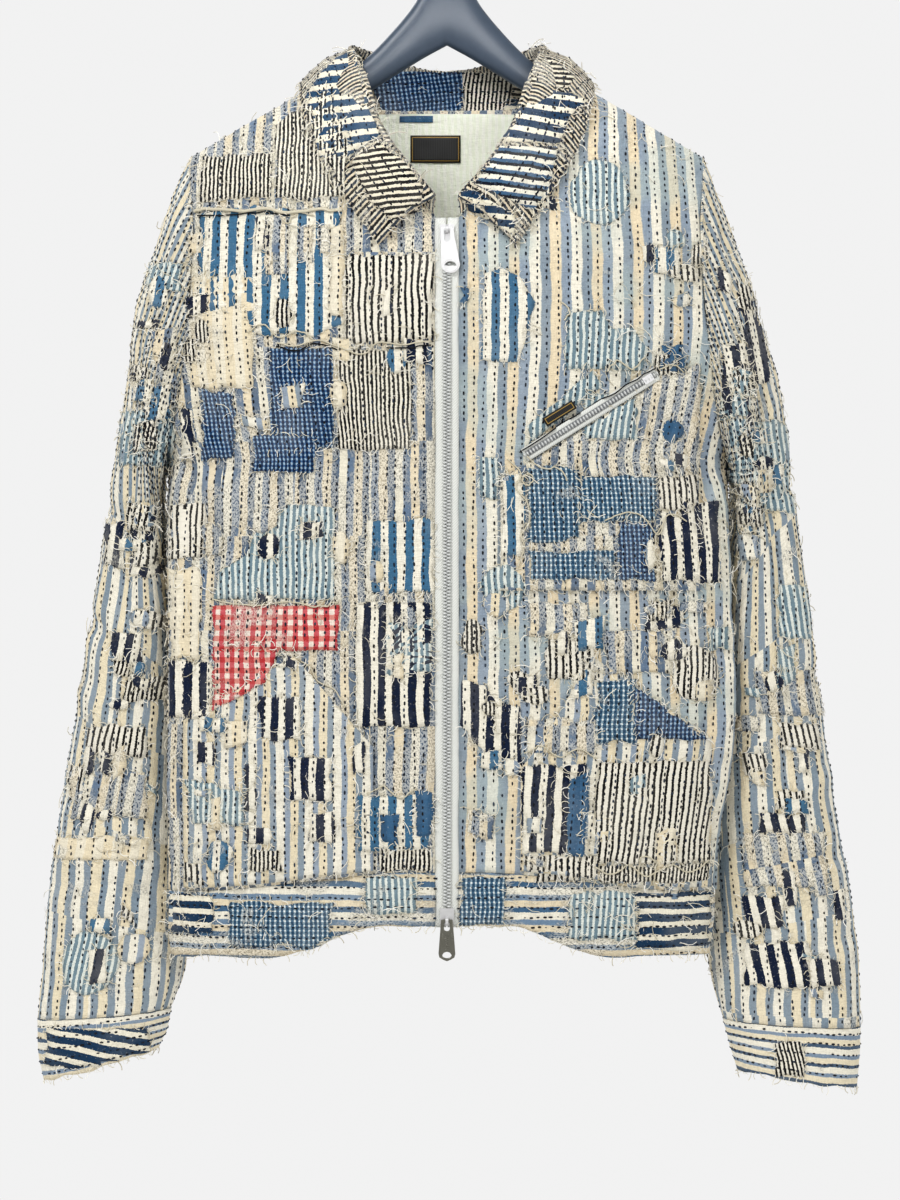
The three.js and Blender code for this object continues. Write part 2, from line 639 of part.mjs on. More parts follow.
const LINING_LIFT = -(CLOTH + 2);   // clear of the back where it rounds into the shoulders
const LINING = { top: 167, bottom: 300, topHalf: 54, half: 70, widensOver: 30, thickness: 1, rows: 6 };
function liningGrid() {
  const widened = (drop) => smooth((drop - LINING.top) / LINING.widensOver);
  const grid = [];
  for (let i = 0; i <= LINING.rows; i++) {
    const drop = mix(LINING.top, LINING.bottom, i / LINING.rows);
    const half = mix(LINING.topHalf, LINING.half, widened(drop));
    grid.push([-1, -0.6, -0.2, 0.2, 0.6, 1].map((t) => onBody('back', t * half, drop)));
  }
  return grid;
}
addMesh('neck_lining', wall(liningGrid(), -1, { lift: LINING_LIFT, thickness: LINING.thickness }),
  material(COLOURS.lining));
const ON_LINING = LINING_LIFT - LINING.thickness - 0.4;
const NECK_LABEL = { middle: [-9, 194], length: 39, width: 21, thickness: 0.8 };
addMesh('neck_label',
  slantedPiece('back', NECK_LABEL.middle, NECK_LABEL.length, NECK_LABEL.width, 0,
    { lift: ON_LINING, thickness: NECK_LABEL.thickness }),
  material(COLOURS.label));
const LOOP = { middle: [-24, 171], length: 26, width: 5, thickness: 1 };
addMesh('hanging_loop',
  slantedPiece('back', LOOP.middle, LOOP.length, LOOP.width, 0,
    { lift: ON_LINING, thickness: LOOP.thickness }),
  material(COLOURS.denim));

// ---- front zip ----

const TOP_SLIDER = { drop: 270, reach: 6.5 };
const BOTTOM_SLIDER = { drop: 782, reach: 6.5 };

function zipStrip(x0, x1, topDrop, bottomDrop, lift, thickness) {
  return frontPiece([x0, x1], level(topDrop), level(bottomDrop), { lift, thickness, columns: 1, rows: 12 });
}
const TAPE_INNER = CHAIN_HALF + SEAM_GAP;
const TAPE_OUTER = PANEL_EDGE - SEAM_GAP;
addMesh('zip_tape_right', zipStrip(-TAPE_OUTER, -TAPE_INNER, ZIP_TOP_DROP, ZIP_HEM_DROP, 0, TRIM),
  material(COLOURS.tape));
addMesh('zip_tape_left', zipStrip(TAPE_INNER, TAPE_OUTER, ZIP_TOP_DROP, ZIP_HEM_DROP, 0, TRIM),
  material(COLOURS.tape));
addMesh('zip_chain',
  zipStrip(-CHAIN_HALF, CHAIN_HALF, TOP_SLIDER.drop + TOP_SLIDER.reach + SEAM_GAP,
    BOTTOM_SLIDER.drop - BOTTOM_SLIDER.reach - SEAM_GAP, 0.7, 2.4),
  material(COLOURS.silver, 0.4, 0.5));

// ---- sliders and pulls ----

function toSolid(geometry) {
  const bare = geometry.clone();
  bare.deleteAttribute('normal');
  bare.deleteAttribute('uv');
  const merged = mergeVertices(bare, 1e-4);
  const vertProperties = Float32Array.from(merged.getAttribute('position').array);
  const index = merged.getIndex().array;
  const corners = [];
  for (let k = 0; k < index.length; k += 3) {
    const [a, b, c] = [index[k], index[k + 1], index[k + 2]];
    if (a !== b && b !== c && c !== a) corners.push(a, b, c);
  }
  const triVerts = Uint32Array.from(corners);
  return new wasm.Manifold(new wasm.Mesh({ numProp: 3, vertProperties, triVerts }));
}

function toGeometry(solid) {
  const mesh = solid.getMesh();
  return geometryOf(mesh.vertProperties, Array.from(mesh.triVerts));
}

const block = (x, y, z, width, depth, height) =>
  new THREE.BoxGeometry(width, depth, height).translate(x, y, z);

const PLATE_WIDTH = 10.4;     // of the slider's front and back plates
const PLATE_BACK = 0.9;       // the slider's front plate clears the tape by this
const PLATE_FRONT = 2.8;      // and ends this far out of it
const PIVOT_OUT = 4.8;        // the pull's bar, in front of the tape
const BAIL = { inner: 1.8, outer: 3, half: 1.1 };

// The bail: a D-shaped loop that stands on the slider and holds the pull's bar.
function bailGeometry(pivotUp) {
  const shape = new THREE.Shape();
  shape.moveTo(PLATE_FRONT - 0.6, pivotUp - BAIL.outer);
  shape.lineTo(PIVOT_OUT, pivotUp - BAIL.outer);
  shape.absarc(PIVOT_OUT, pivotUp, BAIL.outer, -Math.PI / 2, Math.PI / 2, false);
  shape.lineTo(PLATE_FRONT - 0.6, pivotUp + BAIL.outer);
  shape.closePath();
  const eye = new THREE.Path();
  eye.moveTo(PLATE_FRONT, pivotUp + BAIL.inner);
  eye.lineTo(PIVOT_OUT, pivotUp + BAIL.inner);
  eye.absarc(PIVOT_OUT, pivotUp, BAIL.inner, Math.PI / 2, -Math.PI / 2, true);
  eye.lineTo(PLATE_FRONT, pivotUp - BAIL.inner);
  eye.closePath();
  shape.holes.push(eye);
  const geometry = new THREE.ExtrudeGeometry(shape, {
    depth: 2 * BAIL.half, bevelEnabled: false, curveSegments: 8,
  });
  geometry.translate(0, 0, -BAIL.half);
  const turn = new THREE.Matrix4().makeBasis(vec(0, -1, 0), vec(0, 0, 1), vec(-1, 0, 0));
  return geometry.applyMatrix4(turn);
}

// A slider: its front plate, the core between the tapes, its back plate and the bail.
function sliderGeometry(reach, pivotUp) {
  const parts = [
    block(0, -(PLATE_FRONT + PLATE_BACK) / 2, 0, PLATE_WIDTH, PLATE_FRONT - PLATE_BACK, 2 * reach),
    block(0, 0.8, 0, 2 * CHAIN_HALF, 3.8, 2 * reach),
    block(0, 2.8, 0, PLATE_WIDTH, 1.2, 2 * reach),
    bailGeometry(pivotUp),
  ];
  return toGeometry(parts.map(toSolid).reduce((whole, part) => whole.add(part)));
}

// A pull tab: a flat tapered plate with a slot for the bail and an eye near its foot.
const PULL_THICKNESS = 1.6;
function pullGeometry({ top, foot, length, lean }) {
  const bar = 0.9;            // half the bar that the bail holds
  const shape = new THREE.Shape();
  shape.moveTo(top, bar);
  shape.lineTo(-top, bar);
  shape.lineTo(lean - foot, -length + foot * 0.7);
  shape.quadraticCurveTo(lean - foot, -length, lean, -length);
  shape.quadraticCurveTo(lean + foot, -length, lean + foot, -length + foot * 0.7);
  shape.closePath();
  const slot = new THREE.Path();
  slot.moveTo(-2.2, -bar);
  slot.lineTo(2.2, -bar);
  slot.lineTo(2.2, -7);
  slot.quadraticCurveTo(0, -9.4, -2.2, -7);
  slot.closePath();
  const eye = new THREE.Path();
  eye.absarc(lean * 0.85, -length + foot * 0.95, foot * 0.5, 0, Math.PI * 2, false);
  shape.holes.push(slot, eye);
  const geometry = new THREE.ExtrudeGeometry(shape, {
    depth: PULL_THICKNESS, bevelEnabled: false, curveSegments: 6,
  });
  geometry.translate(0, 0, -PULL_THICKNESS / 2);
  const turn = new THREE.Matrix4().makeBasis(vec(1, 0, 0), vec(0, 0, 1), vec(0, -1, 0));
  return toGeometry(toSolid(geometry.applyMatrix4(turn)));
}

const SLIDERS = [
  {
    name: 'top', ...TOP_SLIDER, pivotUp: 2.8, look: material(COLOURS.silver, 0.3, 0.8),
    pull: { top: 5, foot: 7, length: 33, lean: 2.6 }, pullLook: material(COLOURS.silver, 0.3, 0.6),
  },
  {
    name: 'bottom', ...BOTTOM_SLIDER, pivotUp: -2.8, look: material(COLOURS.silver, 0.3, 0.8),
    pull: { top: 5.2, foot: 6.4, length: 30, lean: 0 }, pullLook: material(COLOURS.gunmetal, 0.35, 0.8),
  },
];
for (const slider of SLIDERS) {
  const face = -frontDepth(slider.drop);
  const body = addMesh(`zip_slider_${slider.name}`,
    sliderGeometry(slider.reach, slider.pivotUp), slider.look);
  body.position.set(0, face, -slider.drop);
  const pull = addMesh(`zip_pull_${slider.name}`, pullGeometry(slider.pull), slider.pullLook);
  pull.position.set(0, face - PIVOT_OUT, -slider.drop + slider.pivotUp);
}

// ---- hanger ----

const HANGER_TOP = 65;
const HANGER_REACH = 186;
const HANGER_UNDER_CLOTH = CLOTH + 5;
const hangerUpper = through([
  [0, HANGER_TOP], [13, HANGER_TOP + 3], [26, 90], [45, 113], [62, 130],
  [NECK_HALF, NECK_DROP + HANGER_UNDER_CLOTH],
]);
const hangerUpperEdge = (x) =>
  x < NECK_HALF ? hangerUpper(x) : shoulderDrop(x) + HANGER_UNDER_CLOTH;
const hangerLowerEdge = (x) => {
  const notch = through([[0, 120], [20, 131], [62, 157], [NECK_HALF, 172], [150, 206]]);
  return x < 150 ? notch(x) : 206 + (x - 150) * SHOULDER_SLOPE;
};
const hangerDepth = through([[0, 8], [40, 8], [NECK_HALF, 7], [130, 11], [170, 14], [HANGER_REACH, 10]]);

function hangerGeometry() {
  const reaches = [6, 13, 20, 30, 45, 62, NECK_HALF, 112, 136, 160, 176, HANGER_REACH];
  const stations = [...reaches.map((x) => -x).reverse(), 0, ...reaches];
  const sides = 10;
  const rings = stations.map((x) => {
    const upper = hangerUpperEdge(Math.abs(x));
    const lower = hangerLowerEdge(Math.abs(x));
    const middle = (upper + lower) / 2;
    const half = (lower - upper) / 2;
    const ring = [];
    for (let a = 0; a < sides; a++) {
      const angle = 2 * Math.PI * a / sides;
      const c = Math.cos(angle);
      const s = Math.sin(angle);
      ring.push(vec(x, hangerDepth(Math.abs(x)) * c, -middle + half * s));
    }
    return ring;
  });
  const points = rings.flat();
  const indices = [];
  for (let k = 0; k < stations.length - 1; k++) {
    for (let a = 0; a < sides; a++) {
      const b = (a + 1) % sides;
      const [p, q, r, t] = [k * sides + a, (k + 1) * sides + a, (k + 1) * sides + b, k * sides + b];
      indices.push(p, q, r, p, r, t);
    }
  }
  const lastRing = (stations.length - 1) * sides;
  for (let a = 1; a < sides - 1; a++) {
    indices.push(0, a, a + 1);
    indices.push(lastRing, lastRing + a + 1, lastRing + a);
  }
  return facingOut(points, indices);
}
addMesh('hanger', hangerGeometry(), material(COLOURS.slate, 0.35, 0.1));

// The hook: a wire up out of the hanger and over the rail in one open loop.
const HOOK_WIRE = 2.1;
const HOOK_INSIDE = 19;
function hookGeometry() {
  const radius = HOOK_INSIDE + HOOK_WIRE;
  const centre = HOOK_INSIDE;
  const path = [vec(0, 0, -(HANGER_TOP - SEAM_GAP)), vec(0, 0, -58), vec(2.5, 0, -49)];
  for (let k = 0; k <= 14; k++) {
    const angle = THREE.MathUtils.degToRad(-62 + k * 18.5);
    path.push(vec(radius * Math.cos(angle), 0, radius * Math.sin(angle) - centre));
  }
  const circle = new THREE.Shape();
  circle.absarc(0, 0, HOOK_WIRE, 0, Math.PI * 2);
  const route = new THREE.CatmullRomCurve3(path);
  const geometry = new THREE.ExtrudeGeometry(circle, {
    steps: 34, bevelEnabled: false, extrudePath: route, curveSegments: 4,
  });
  return toGeometry(toSolid(geometry));
}
addMesh('hanger_hook', hookGeometry(), material(COLOURS.steel, 0.25, 1));

export default group;
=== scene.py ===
"""Patched boro zip jacket on a contoured hanger.

Lengths inside the script are millimetres until a mesh is made. The front faces -Y, the
wearer's left side is +X, and a height is a drop below the inside top of the hook.
"""
import math

import bpy
import numpy as np
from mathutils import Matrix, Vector
from mathutils.bvhtree import BVHTree
from mathutils.geometry import delaunay_2d_cdt


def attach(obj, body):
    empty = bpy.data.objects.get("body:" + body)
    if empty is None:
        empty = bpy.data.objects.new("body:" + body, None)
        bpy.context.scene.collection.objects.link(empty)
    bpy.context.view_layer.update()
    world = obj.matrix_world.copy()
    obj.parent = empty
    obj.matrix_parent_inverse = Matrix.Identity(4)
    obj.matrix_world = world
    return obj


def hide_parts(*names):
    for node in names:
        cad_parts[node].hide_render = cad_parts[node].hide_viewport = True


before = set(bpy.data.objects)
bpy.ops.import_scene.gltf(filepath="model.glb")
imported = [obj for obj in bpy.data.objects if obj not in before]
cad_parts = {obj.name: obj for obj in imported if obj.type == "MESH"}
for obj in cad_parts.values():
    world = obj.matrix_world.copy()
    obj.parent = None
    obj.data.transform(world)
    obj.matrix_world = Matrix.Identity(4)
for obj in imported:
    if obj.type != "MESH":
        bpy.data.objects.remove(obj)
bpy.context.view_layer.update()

MM = 0.001
rng = np.random.default_rng(11)

# ---- camera

VIEW_HEIGHT = 0.912           # metres of the garment's plane from frame top to frame bottom
VIEW_DISTANCE = 2.3
VIEW_ACROSS, VIEW_LEVEL = 0.0023, -0.545
PLANE_OUT = 0.02              # metres from the hook's plane forward to the garment's plane
SENSOR_HEIGHT = 36


def in_scene(name, data):
    obj = bpy.data.objects.new(name, data)
    bpy.context.scene.collection.objects.link(obj)
    return obj


camera_data = bpy.data.cameras.new("camera")
camera = in_scene("camera", camera_data)
bpy.context.scene.camera = camera
camera.location = (VIEW_ACROSS, -VIEW_DISTANCE - PLANE_OUT, VIEW_LEVEL)
camera.rotation_euler = (math.pi / 2, 0, 0)
camera_data.sensor_fit = "VERTICAL"
camera_data.sensor_height = SENSOR_HEIGHT
camera_data.lens = SENSOR_HEIGHT * VIEW_DISTANCE / VIEW_HEIGHT

# ---- the garment's surface

NECK_DROP, NECK_HALF = 143, 88
SHOULDER_SLOPE = 0.583
SHOULDER_HALF = 196
SHOULDER_DROP = NECK_DROP + (SHOULDER_HALF - NECK_HALF) * SHOULDER_SLOPE
SHOULDER_ROUND = 62
ARMPIT_DROP, ARMPIT_HALF = 440.0, 214
BODY_POWER, CROWN_POWER = 2.6, 2.2
TUCK_DEPTH = 28
ZIP_TOP_DROP, ZIP_HEM_DROP = 258, 790
BAND_DROP, BACK_HEM_DROP = 755, 796
PANEL_EDGE = 9
BAND_GAP = 0.3                # between a panel's foot and the waistband
SEAM_GAP = 0.15               # from the side seam's plane to the fronts and to the back
GATHER_PITCH, GATHER_REACH = 10, 22
GIRTH_HALF, GIRTH_DEPTH = 220, 57
QUARTER = math.pi / 2
SIDES = ((-1, "right"), (1, "left"))
OUTWARD = {"front": np.array([0, -1, 0]), "back": np.array([0, 1, 0])}


def through(pairs):
    """A smooth function through (position, value) pairs, level beyond both ends."""
    at, value = np.array(pairs, float).T
    slope = np.gradient(value)
    slope[1:-1] = (value[2:] - value[:-2]) / (at[2:] - at[:-2])
    slope[0] = (value[1] - value[0]) / (at[1] - at[0])
    slope[-1] = (value[-1] - value[-2]) / (at[-1] - at[-2])

    def curve(x):
        x = np.clip(np.asarray(x, float), at[0], at[-1])
        k = np.clip(np.searchsorted(at, x, side="right") - 1, 0, len(at) - 2)
        span = at[k + 1] - at[k]
        t = (x - at[k]) / span
        rise = (value[k + 1] - value[k]) * t * t * (3 - 2 * t)
        bend = t * (1 - t) ** 2 * span * slope[k] + t * t * (t - 1) * span * slope[k + 1]
        return value[k] + rise + bend
    return curve


def smooth(t):
    t = np.clip(t, 0, 1)
    return t * t * (3 - 2 * t)


def mix(a, b, t):
    return a + (b - a) * t


def superellipse(across, power):
    return (1 - np.minimum(np.abs(across), 1) ** power) ** (1 / power)


ABOVE_ARMPIT = [(206, 226), (309, 232), (360, 230), (410, 221), (440, 214)]
front_half_right = through(ABOVE_ARMPIT + [(460, 216), (545, 219), (697, 221), (815, 220)])
front_half_left = through(ABOVE_ARMPIT + [(460, 219), (545, 226), (621, 229), (682, 223),
                                          (735, 215), (803, 207)])
seam_half = through(ABOVE_ARMPIT + [(500, 211), (560, 207), (620, 205), (700, 203),
                                    (760, 201), (815, 198)])
front_depth = through([(150, 40), (206, 44), (300, 52), (440, 57), (600, 59), (740, 57), (815, 53)])
back_depth = through([(150, 36), (206, 40), (300, 48), (440, 52), (600, 52), (740, 50), (815, 44)])
armhole_half = through([(SHOULDER_DROP, SHOULDER_HALF), (260, 193), (309, 194.5), (360, 199),
                        (410, 206), (440, 214)])
front_neck = through([(9, 258), (20, 245), (38, 228), (58, 205), (74, 180), (84, 158), (88, 143)])
back_neck = through([(0, 164), (45, 164), (66, 160), (80, 151), (88, 143)])


def shoulder_drop(x):
    return NECK_DROP + (x - NECK_HALF) * SHOULDER_SLOPE


def front_top(x):
    return np.where(x < NECK_HALF, front_neck(x), shoulder_drop(x))


def back_top(x):
    return np.where(x < NECK_HALF, back_neck(x), shoulder_drop(x))


def front_band_top(x):
    return 749 + 16 * smooth((np.abs(x) - 20) / 180)


def front_hem(x):
    return ZIP_HEM_DROP + 24 * smooth((np.abs(x) - 45) / 85)


def width_at(side, face, drop):
    if face == "back":
        return seam_half(drop)
    return np.where(np.asarray(side) > 0, front_half_left(drop), front_half_right(drop))


def turn_for(x, width):
    return np.arcsin(np.minimum(np.abs(x) / width, 1) ** (BODY_POWER / 2))


def body_point(side, face, turn, drop):
    """A point of the body's outer surface, for turns from the centre line to the side seam."""
    drop = np.asarray(drop, float)
    width = width_at(side, face, drop)
    across = width * np.sin(np.maximum(turn, 0)) ** (2 / BODY_POWER)
    full = front_depth(drop) if face == "front" else back_depth(drop)
    below = (drop - shoulder_drop(across)) / SHOULDER_ROUND
    crown = superellipse(1 - np.clip(below, 0, 1), CROWN_POWER)
    depth = full * np.maximum(np.cos(turn), 0) ** (2 / BODY_POWER) * crown
    tuck = smooth(1 - depth / TUCK_DEPTH)
    x = across * (1 - tuck * (1 - seam_half(drop) / width))
    y = -depth if face == "front" else depth
    return np.stack(np.broadcast_arrays(side * x, y, -drop), -1)


def on_body(face, x, drop):
    side = 1 if x >= 0 else -1
    return body_point(side, face, turn_for(x, width_at(side, face, drop)), drop)


turns = np.linspace(0, QUARTER, 500)
section = np.stack([GIRTH_HALF * np.sin(turns) ** (2 / BODY_POWER),
                    GIRTH_DEPTH * np.cos(turns) ** (2 / BODY_POWER)], -1)
girths = np.concatenate([[0], np.cumsum(np.linalg.norm(np.diff(section, axis=0), axis=1))])


def girth(turn):
    """Distance round the body from its centre line."""
    return np.interp(turn, turns, girths)


# ---- puckers and folds

def value_noise(u, v, seed):
    """Smooth noise from -1 to 1 with features one unit wide."""
    u0, v0 = np.floor(u), np.floor(v)
    fu, fv = smooth(u - u0), smooth(v - v0)

    def corner(i, j):
        wave = np.sin((u0 + i) * 127.1 + (v0 + j) * 311.7 + seed * 74.7) * 43758.5453
        return 2 * (wave - np.floor(wave)) - 1
    return mix(mix(corner(0, 0), corner(1, 0), fu), mix(corner(0, 1), corner(1, 1), fu), fv)


def puckers(u, v, seed):
    """Height of quilted cloth: broad crumples, small lumps, and channels between stitch rows."""
    lumps = 1.1 * value_noise(u / 42, v / 34, seed) + 0.65 * value_noise(u / 15, v / 12, seed + 1)
    lumps = lumps + 0.38 * value_noise(u / 7, v / 6, seed + 2)
    return lumps - 0.3 * np.cos(2 * np.pi * u / 12.4)


# Folds over the body and sleeves: both ends (distance across, drop), half width and height.
FOLDS = [
    ((-190, 470), (-150, 640), 9, -3.0), ((-206, 425), (-168, 520), 7, -3.2),
    ((-120, 650), (-135, 745), 10, 2.0), ((-60, 640), (-52, 745), 9, -2.0),
    ((200, 445), (168, 560), 8, -3.2), ((206, 560), (192, 742), 9, -3.0),
    ((-24, 300), (-18, 470), 9, 1.6), ((95, 555), (112, 650), 12, 2.2),
    ((24, 560), (30, 740), 10, -1.8), ((150, 560), (186, 640), 8, -2.0),
    ((-196, 240), (-176, 420), 8, -2.2), ((196, 240), (180, 430), 8, -2.2),
    ((-150, 220), (-60, 262), 7, 1.8), ((120, 420), (60, 470), 8, 1.4),
    ((-224, 330), (-252, 560), 8, -4.0), ((-240, 350), (-282, 600), 9, 2.2),
    ((-262, 470), (-216, 520), 7, -3.0), ((-276, 560), (-218, 600), 7, -3.2),
    ((-286, 610), (-228, 676), 8, 2.6), ((-292, 690), (-215, 720), 7, -3.0),
    ((-300, 760), (-222, 770), 8, -2.4), ((-262, 770), (-270, 850), 10, 2.4),
    ((232, 330), (258, 560), 8, -5.0), ((246, 330), (280, 600), 9, 2.6),
    ((258, 560), (262, 700), 9, -4.6), ((270, 450), (226, 500), 7, -2.8),
    ((286, 600), (232, 640), 7, -3.2), ((296, 680), (226, 706), 8, 2.4),
    ((302, 740), (222, 752), 7, -3.0), ((262, 770), (272, 860), 10, 2.4),
    ((310, 800), (230, 826), 8, -2.6),
]


def folds(x, drop):
    height = np.zeros(np.broadcast(x, drop).shape)
    for (ax, ad), (bx, bd), half, rise in FOLDS:
        length2 = (bx - ax) ** 2 + (bd - ad) ** 2
        along = ((x - ax) * (bx - ax) + (drop - ad) * (bd - ad)) / length2
        wander = 4 * value_noise(drop / 40 + ax, x / 40, 5)
        near = np.clip(along, 0, 1)
        gap = np.hypot(x + wander - mix(ax, bx, near), drop - mix(ad, bd, near))
        fade = smooth((along + 0.15) / 0.3) * smooth((1.15 - along) / 0.3)
        height = height + rise * np.exp(-(gap / half) ** 2) * fade
    return height


# ---- meshes

def grid_normals(points, closed=False):
    down = np.gradient(points, axis=0)
    if closed:
        across = np.roll(points, -1, axis=1) - np.roll(points, 1, axis=1)
    else:
        across = np.gradient(points, axis=1)
    normals = np.cross(down, across)
    length = np.linalg.norm(normals, axis=-1, keepdims=True)
    return normals / np.maximum(length, 1e-9)


def new_object(name, verts, faces, uvs=None, material=None):
    """An object in metres from points in millimetres; uvs are metres of cloth, one a point."""
    mesh = bpy.data.meshes.new(name)
    mesh.from_pydata((np.asarray(verts) * MM).tolist(), [], faces)
    if uvs is not None:
        layer = mesh.uv_layers.new(name="weave")
        corners = np.empty(len(mesh.loops), np.int32)
        mesh.loops.foreach_get("vertex_index", corners)
        layer.data.foreach_set("uv", (np.asarray(uvs)[corners] * MM).ravel())
    mesh.polygons.foreach_set("use_smooth", [True] * len(mesh.polygons))
    if material is not None:
        mesh.materials.append(material)
    mesh.validate()
    return in_scene(name, mesh)


class Cloth:
    """A panel's outer face as a grid of points, with the cloth's own directions."""

    def __init__(self, points, u, v, outward, closed=False):
        self.points, self.u, self.v, self.closed = points, u, v, closed
        self.normals = grid_normals(points, closed)
        self.turned = bool(np.sum(self.normals * outward) < 0)
        if self.turned:
            self.normals = -self.normals

    def raise_by(self, height):
        self.points = self.points + self.normals * np.asarray(height)[..., None]

    def faces(self):
        rows, columns = self.points.shape[:2]
        last = columns if self.closed else columns - 1
        faces = []
        for i in range(rows - 1):
            for j in range(last):
                k = (j + 1) % columns
                quad = (i * columns + j, (i + 1) * columns + j, (i + 1) * columns + k, i * columns + k)
                faces.append(quad[::-1] if self.turned else quad)
        return faces

    def build(self, name, material, thickness=2.0):
        uvs = np.stack([self.u, self.v], -1)
        obj = new_object(name, self.points.reshape(-1, 3), self.faces(), uvs.reshape(-1, 2), material)
        if self.closed:
            mend_wrap(obj, self.u)
        thicken(obj, thickness)
        shells.append(obj)
        return obj


def mend_wrap(obj, u):
    """On a tube, gives the last column's far corners the coordinate past the wrap."""
    layer, columns = obj.data.uv_layers["weave"], u.shape[1]
    for face in obj.data.polygons:
        inside = [obj.data.loops[k].vertex_index % columns for k in face.loop_indices]
        if max(inside) == columns - 1 and min(inside) == 0:
            for k, j in zip(face.loop_indices, inside):
                if j == 0:
                    i = obj.data.loops[k].vertex_index // columns
                    layer.data[k].uv[0] = (2 * u[i, -1] - u[i, -2]) * MM


def thicken(obj, thickness):
    shell = obj.modifiers.new("thickness", "SOLIDIFY")
    shell.thickness = thickness * MM
    shell.offset = -1
    return shell


shells = []

# ---- materials


def colour(code):
    """An sRGB hex code as linear RGBA."""
    parts = [int(code[k:k + 2], 16) / 255 for k in (1, 3, 5)]
    return [c / 12.92 if c <= 0.04045 else ((c + 0.055) / 1.055) ** 2.4 for c in parts] + [1]


def add(tree, kind, inputs=None, **settings):
    """Adds a node with its settings, and sets or links its inputs."""
    node = tree.nodes.new(kind)
    for key, value in settings.items():
        setattr(node, key, value)
    for key, value in (inputs or {}).items():
        if isinstance(value, bpy.types.NodeSocket):
            tree.links.new(value, node.inputs[key])
        else:
            node.inputs[key].default_value = value
    return node


def maths(tree, operation, a, b=0.0, c=0.0):
    return add(tree, "ShaderNodeMath", {0: a, 1: b, 2: c}, operation=operation).outputs[0]


def blend(tree, factor, a, b, mode="MIX"):
    node = add(tree, "ShaderNodeMix", {0: factor, 6: a, 7: b}, data_type="RGBA", blend_type=mode)
    return node.outputs[2]


def ramp(tree, factor, stops, interpolation="LINEAR"):
    node = add(tree, "ShaderNodeValToRGB", {0: factor})
    node.color_ramp.interpolation = interpolation
    elements = node.color_ramp.elements
    while len(elements) < len(stops):
        elements.new(0.5)
    for element, (position, code) in zip(elements, stops):
        element.position = position
        element.color = colour(code)
    return node.outputs[0]


def step(tree, value, low, high):
    return add(tree, "ShaderNodeMapRange", {0: value, 1: low, 2: high, 3: 0.0, 4: 1.0}).outputs[0]


def surface(name):
    material = bpy.data.materials.new(name)
    material.use_nodes = True
    tree = material.node_tree
    return material, tree, tree.nodes["Principled BSDF"]


CREAM, PINK_CREAM, BLUE_GREY = "#F7F2E3", "#EFDFC1", "#94A2AF"
NAVY, BLACK = "#14233F", "#0D0D10"
DOT_ROW, DOT_PITCH = 3.7, 4.6   # millimetres between the worn cloth's rows of dots, and between dots


